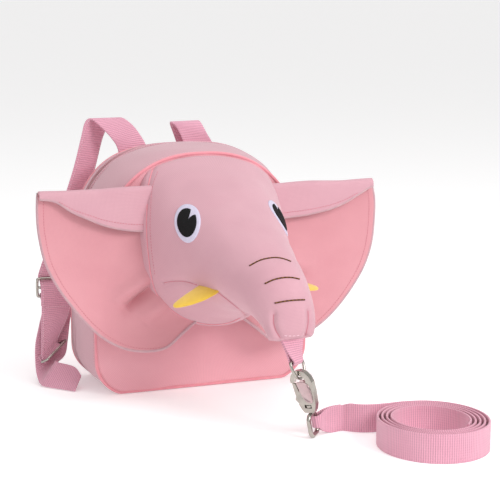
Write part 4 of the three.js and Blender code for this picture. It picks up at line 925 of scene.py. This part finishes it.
tab_top = np.array([FACE_SHIFT + TRUNK_SWING, -219, 83.9])
bar_middle, wire_middle = np.array([18.5, -226, 65.7]), np.array([20.2, -231.2, 51.8])
TAB_TURN, TAB_HALF, TAB_PINCH, D_WIRE, D_SPAN = math.radians(36), 10.5, 0.66, 1.3, 18.4
across = np.array([math.cos(TAB_TURN), math.sin(TAB_TURN), 0])
ring_drop = wire_middle - bar_middle
ring_drop = unit(ring_drop - across * (ring_drop @ across))
rise = tab_top - bar_middle
tab_loop = D_WIRE + PIECE_GAP + WEB / 2


def tab_station(side, share):
    a = TAB_TURN * (1 - share)
    way = np.array([math.cos(a), math.sin(a), 0])
    outward = unit(np.cross(way, rise))
    spread = tab_loop + (WEB / 2 + PIECE_GAP / 2 - tab_loop) * min(1, share * 2.2)
    half = way * TAB_HALF * (TAB_PINCH + (1 - TAB_PINCH) * share)
    return bar_middle + rise * share + outward * side * spread, half


tab_out = unit(np.cross(across, rise))
tab_turn = round_bar(bar_middle, across * TAB_HALF * TAB_PINCH, -unit(rise), -tab_out, tab_loop,
                     (-60, -20, 20, 60))
shares = [1, 0.75, 0.5, 0.3, 0.12, 0]
tab_down, tab_back = [tab_station(1, s) for s in shares], [tab_station(-1, s) for s in shares[::-1]]
ribbon("tab_webbing", [*tab_down, *tab_turn, *tab_back], WEB, ("trunk_tab",), step=0.8)

ring_size = np.linalg.norm(wire_middle - bar_middle)
d_shape = [(-0.5, 0.02), (-0.25, 0), (0, 0), (0.25, 0), (0.5, 0.02), (0.5, 0.45), (0.34, 0.86), (0, 1),
           (-0.34, 0.86), (-0.5, 0.45)]
d_path = [bar_middle + across * a * D_SPAN + ring_drop * d * ring_size for a, d in d_shape]
d_path = resample(d_path, 0.8, True)
tube("d_ring_wire", d_path, D_WIRE, NICKEL, closed=True, sides=14, nodes=("d_ring",), slot="nickel")

NECK = np.array([28.6, -235, 22.3])
LEAN = 0.19
hook_up = np.array([-math.sin(LEAN), 0, math.cos(LEAN)])


def level(v):
    v = np.array(v, float)
    return unit(v - hook_up * (v @ hook_up))


eye_way = level((0.736, 0.676, 0))
EYE_TOP, EYE_LOW, EYE_HALF, POST = -2.3, -20.3, 7.0, 2.0


def in_eye(a, u):
    return NECK + eye_way * a + hook_up * u


eye_shape = [(0, EYE_TOP), (EYE_HALF * 0.62, EYE_TOP - 0.2), (EYE_HALF, EYE_TOP - 3.4),
             (EYE_HALF, (EYE_TOP + EYE_LOW) / 2), (EYE_HALF, EYE_LOW + 3.4), (EYE_HALF * 0.62, EYE_LOW + 0.2),
             (0, EYE_LOW)]
eye_shape += [(-a, u) for a, u in eye_shape[-2:0:-1]]
eye_path = resample([in_eye(a, u) for a, u in eye_shape], 0.8, True)
tube("eye_wire", eye_path, POST, NICKEL, closed=True, sides=14, nodes=("swivel_eye",), slot="nickel")
post_shape = [(-2.3, 2.0), (4.55, 2.0), (4.65, 2.6), (4.9, 2.9), (6.6, 2.9), (7.0, 2.5), (7.02, 0.2)]
post_radii = np.array([r for _, r in post_shape])
tube("eye_post", [in_eye(0, u) for u, _ in post_shape], post_radii, NICKEL, sides=20, slot="nickel")

for node in ("hook_body", "hook_gate", "zip_slider"):
    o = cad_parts[node]
    o.data.materials.clear()
    o.data.materials.append(NICKEL)
    soft = o.modifiers.new("edges", "BEVEL")
    soft.width = 0.00045
    soft.segments = 3
    soft.limit_method = "ANGLE"
    soft.angle_limit = math.radians(35)
    soft.use_clamp_overlap = True

# Inset on both faces of the hook, in brighter pinkish metal that is a painted reflection of the pink bag
hook_side = level((0.582, -0.814, 0))
hook_through = np.cross(hook_side, hook_up)
shield = resample([(-7.6, 27.3), (-3.5, 28.2), (1.4, 27.6), (4.6, 23.5), (5.8, 17), (5.4, 10), (1.2, 9.4),
                   (-2.4, 12), (-4.4, 16), (-6.4, 22)], 1.0, True)
shield_middle = shield.mean(axis=0)
for word, face in (("front", 1), ("back", -1)):
    layers = []
    for size, height in ((1, 0), (1, 0.45), (0.93, 0.6), (0.9, 0.35), (0.02, 0.3)):
        flat = shield_middle + (shield - shield_middle) * size
        raised = NECK + hook_through * face * (2.5 + height)
        layers.append([raised + hook_side * a + hook_up * b for a, b in flat])
    grid(f"hook_painted_reflection_panel_{word}", layers, HOOK_PAINTED_REFLECTION, closed=True, caps=True, body="hook", slot="nickel")

# The leash

leg = in_eye(EYE_HALF, (EYE_TOP + EYE_LOW) / 2)
LEASH, LEASH_THICK, WRAP_HALF = 25.0, 1.8, 5.4
leash_way = unit((0.985, 0.17, 0))
leash_side = np.array([-leash_way[1], leash_way[0], 0])
wrap_radius = POST + PIECE_GAP + LEASH_THICK / 2
layer = LEASH_THICK / 2 + PIECE_GAP


def standing(x, y):
    return np.array([x, y, LEASH / 2]), np.array([0, 0, LEASH / 2])


def flared(along, aside):
    spread = min(1, along / 11)
    half = WRAP_HALF + (LEASH * 0.46 - WRAP_HALF) * spread
    spot = leg + leash_way * along + leash_side * aside
    spot[2] = max(half, leg[2] + (LEASH * 0.46 - leg[2]) * spread)
    return spot, np.array([0, 0, half])


wrap = round_bar(leg, hook_up * WRAP_HALF, leash_way, leash_side, wrap_radius, range(90, 271, 30))
LEASH_TURNS, LEASH_PITCH = 4.4, 3.9
coil = []
for turns in np.linspace(0, LEASH_TURNS, 67):
    a = math.pi / 2 - 2 * math.pi * turns
    coil.append(standing(113.5 + (48 - LEASH_PITCH * turns) * math.cos(a),
                         -295 + (53 - LEASH_PITCH * turns) * math.sin(a)))
leash_run = ribbon("leash_webbing", [
    flared(26, layer), flared(16, layer), flared(8, layer + 0.4), flared(3.5, wrap_radius - 0.4), *wrap,
    flared(3.5, 0.4 - wrap_radius), flared(8, -layer - 0.4), flared(16, -layer), flared(26, -layer),
    standing(67, -231.5), standing(74, -237), standing(83.5, -240.6), standing(97, -242), *coil,
], LEASH_THICK, ("leash",))
for at in (6, 10):
    cross_stitches(f"leash_sewn_{at}", leash_run, at)

# Floor, light and camera

bpy.ops.mesh.primitive_plane_add(size=80, location=(0, 0, -0.0001))
floor = bpy.context.object
floor.name = "floor"
paper, _, _, paper_shader = material("paper", (0.93, 0.93, 0.93), 0.95, 0)
paper_shader.inputs["Emission Color"].default_value = (1, 1, 1, 1)
paper_shader.inputs["Emission Strength"].default_value = 0.25
floor.data.materials.append(paper)

world = bpy.data.worlds.new("studio")
bpy.context.scene.world = world
world.use_nodes = True
world.node_tree.nodes["Background"].inputs["Color"].default_value = (1, 0.99, 0.99, 1)
world.node_tree.nodes["Background"].inputs["Strength"].default_value = 0.66


def area(name, location, target, size, power):
    data = bpy.data.lights.new(name, "AREA")
    data.size = size
    data.energy = power
    o = bpy.data.objects.new(name, data)
    o.location = location
    o.rotation_euler = (Vector(target) - Vector(location)).to_track_quat("-Z", "Y").to_euler()
    bpy.context.scene.collection.objects.link(o)


area("key", (0.75, -1.5, 1.0), (0, -0.1, 0.1), 0.7, 15)
area("fill", (-0.9, -1.5, 0.7), (0, -0.1, 0.1), 1.0, 2)
area("top", (0.1, -0.2, 1.8), (0, 0, 0.1), 1.2, 8)

bpy.context.scene.view_settings.view_transform = "Standard"
camera_data = bpy.data.cameras.new("camera")
camera_data.sensor_width = 36
camera_data.lens = FOCAL / 500 * 36
camera_data.clip_start, camera_data.clip_end = 0.05, 200
camera = bpy.data.objects.new("camera", camera_data)
camera.location = Vector(CAMERA_AT * MM)
camera.rotation_euler = Vector(FORWARD).to_track_quat("-Z", "Y").to_euler()
bpy.context.scene.collection.objects.link(camera)
bpy.context.scene.camera = camera
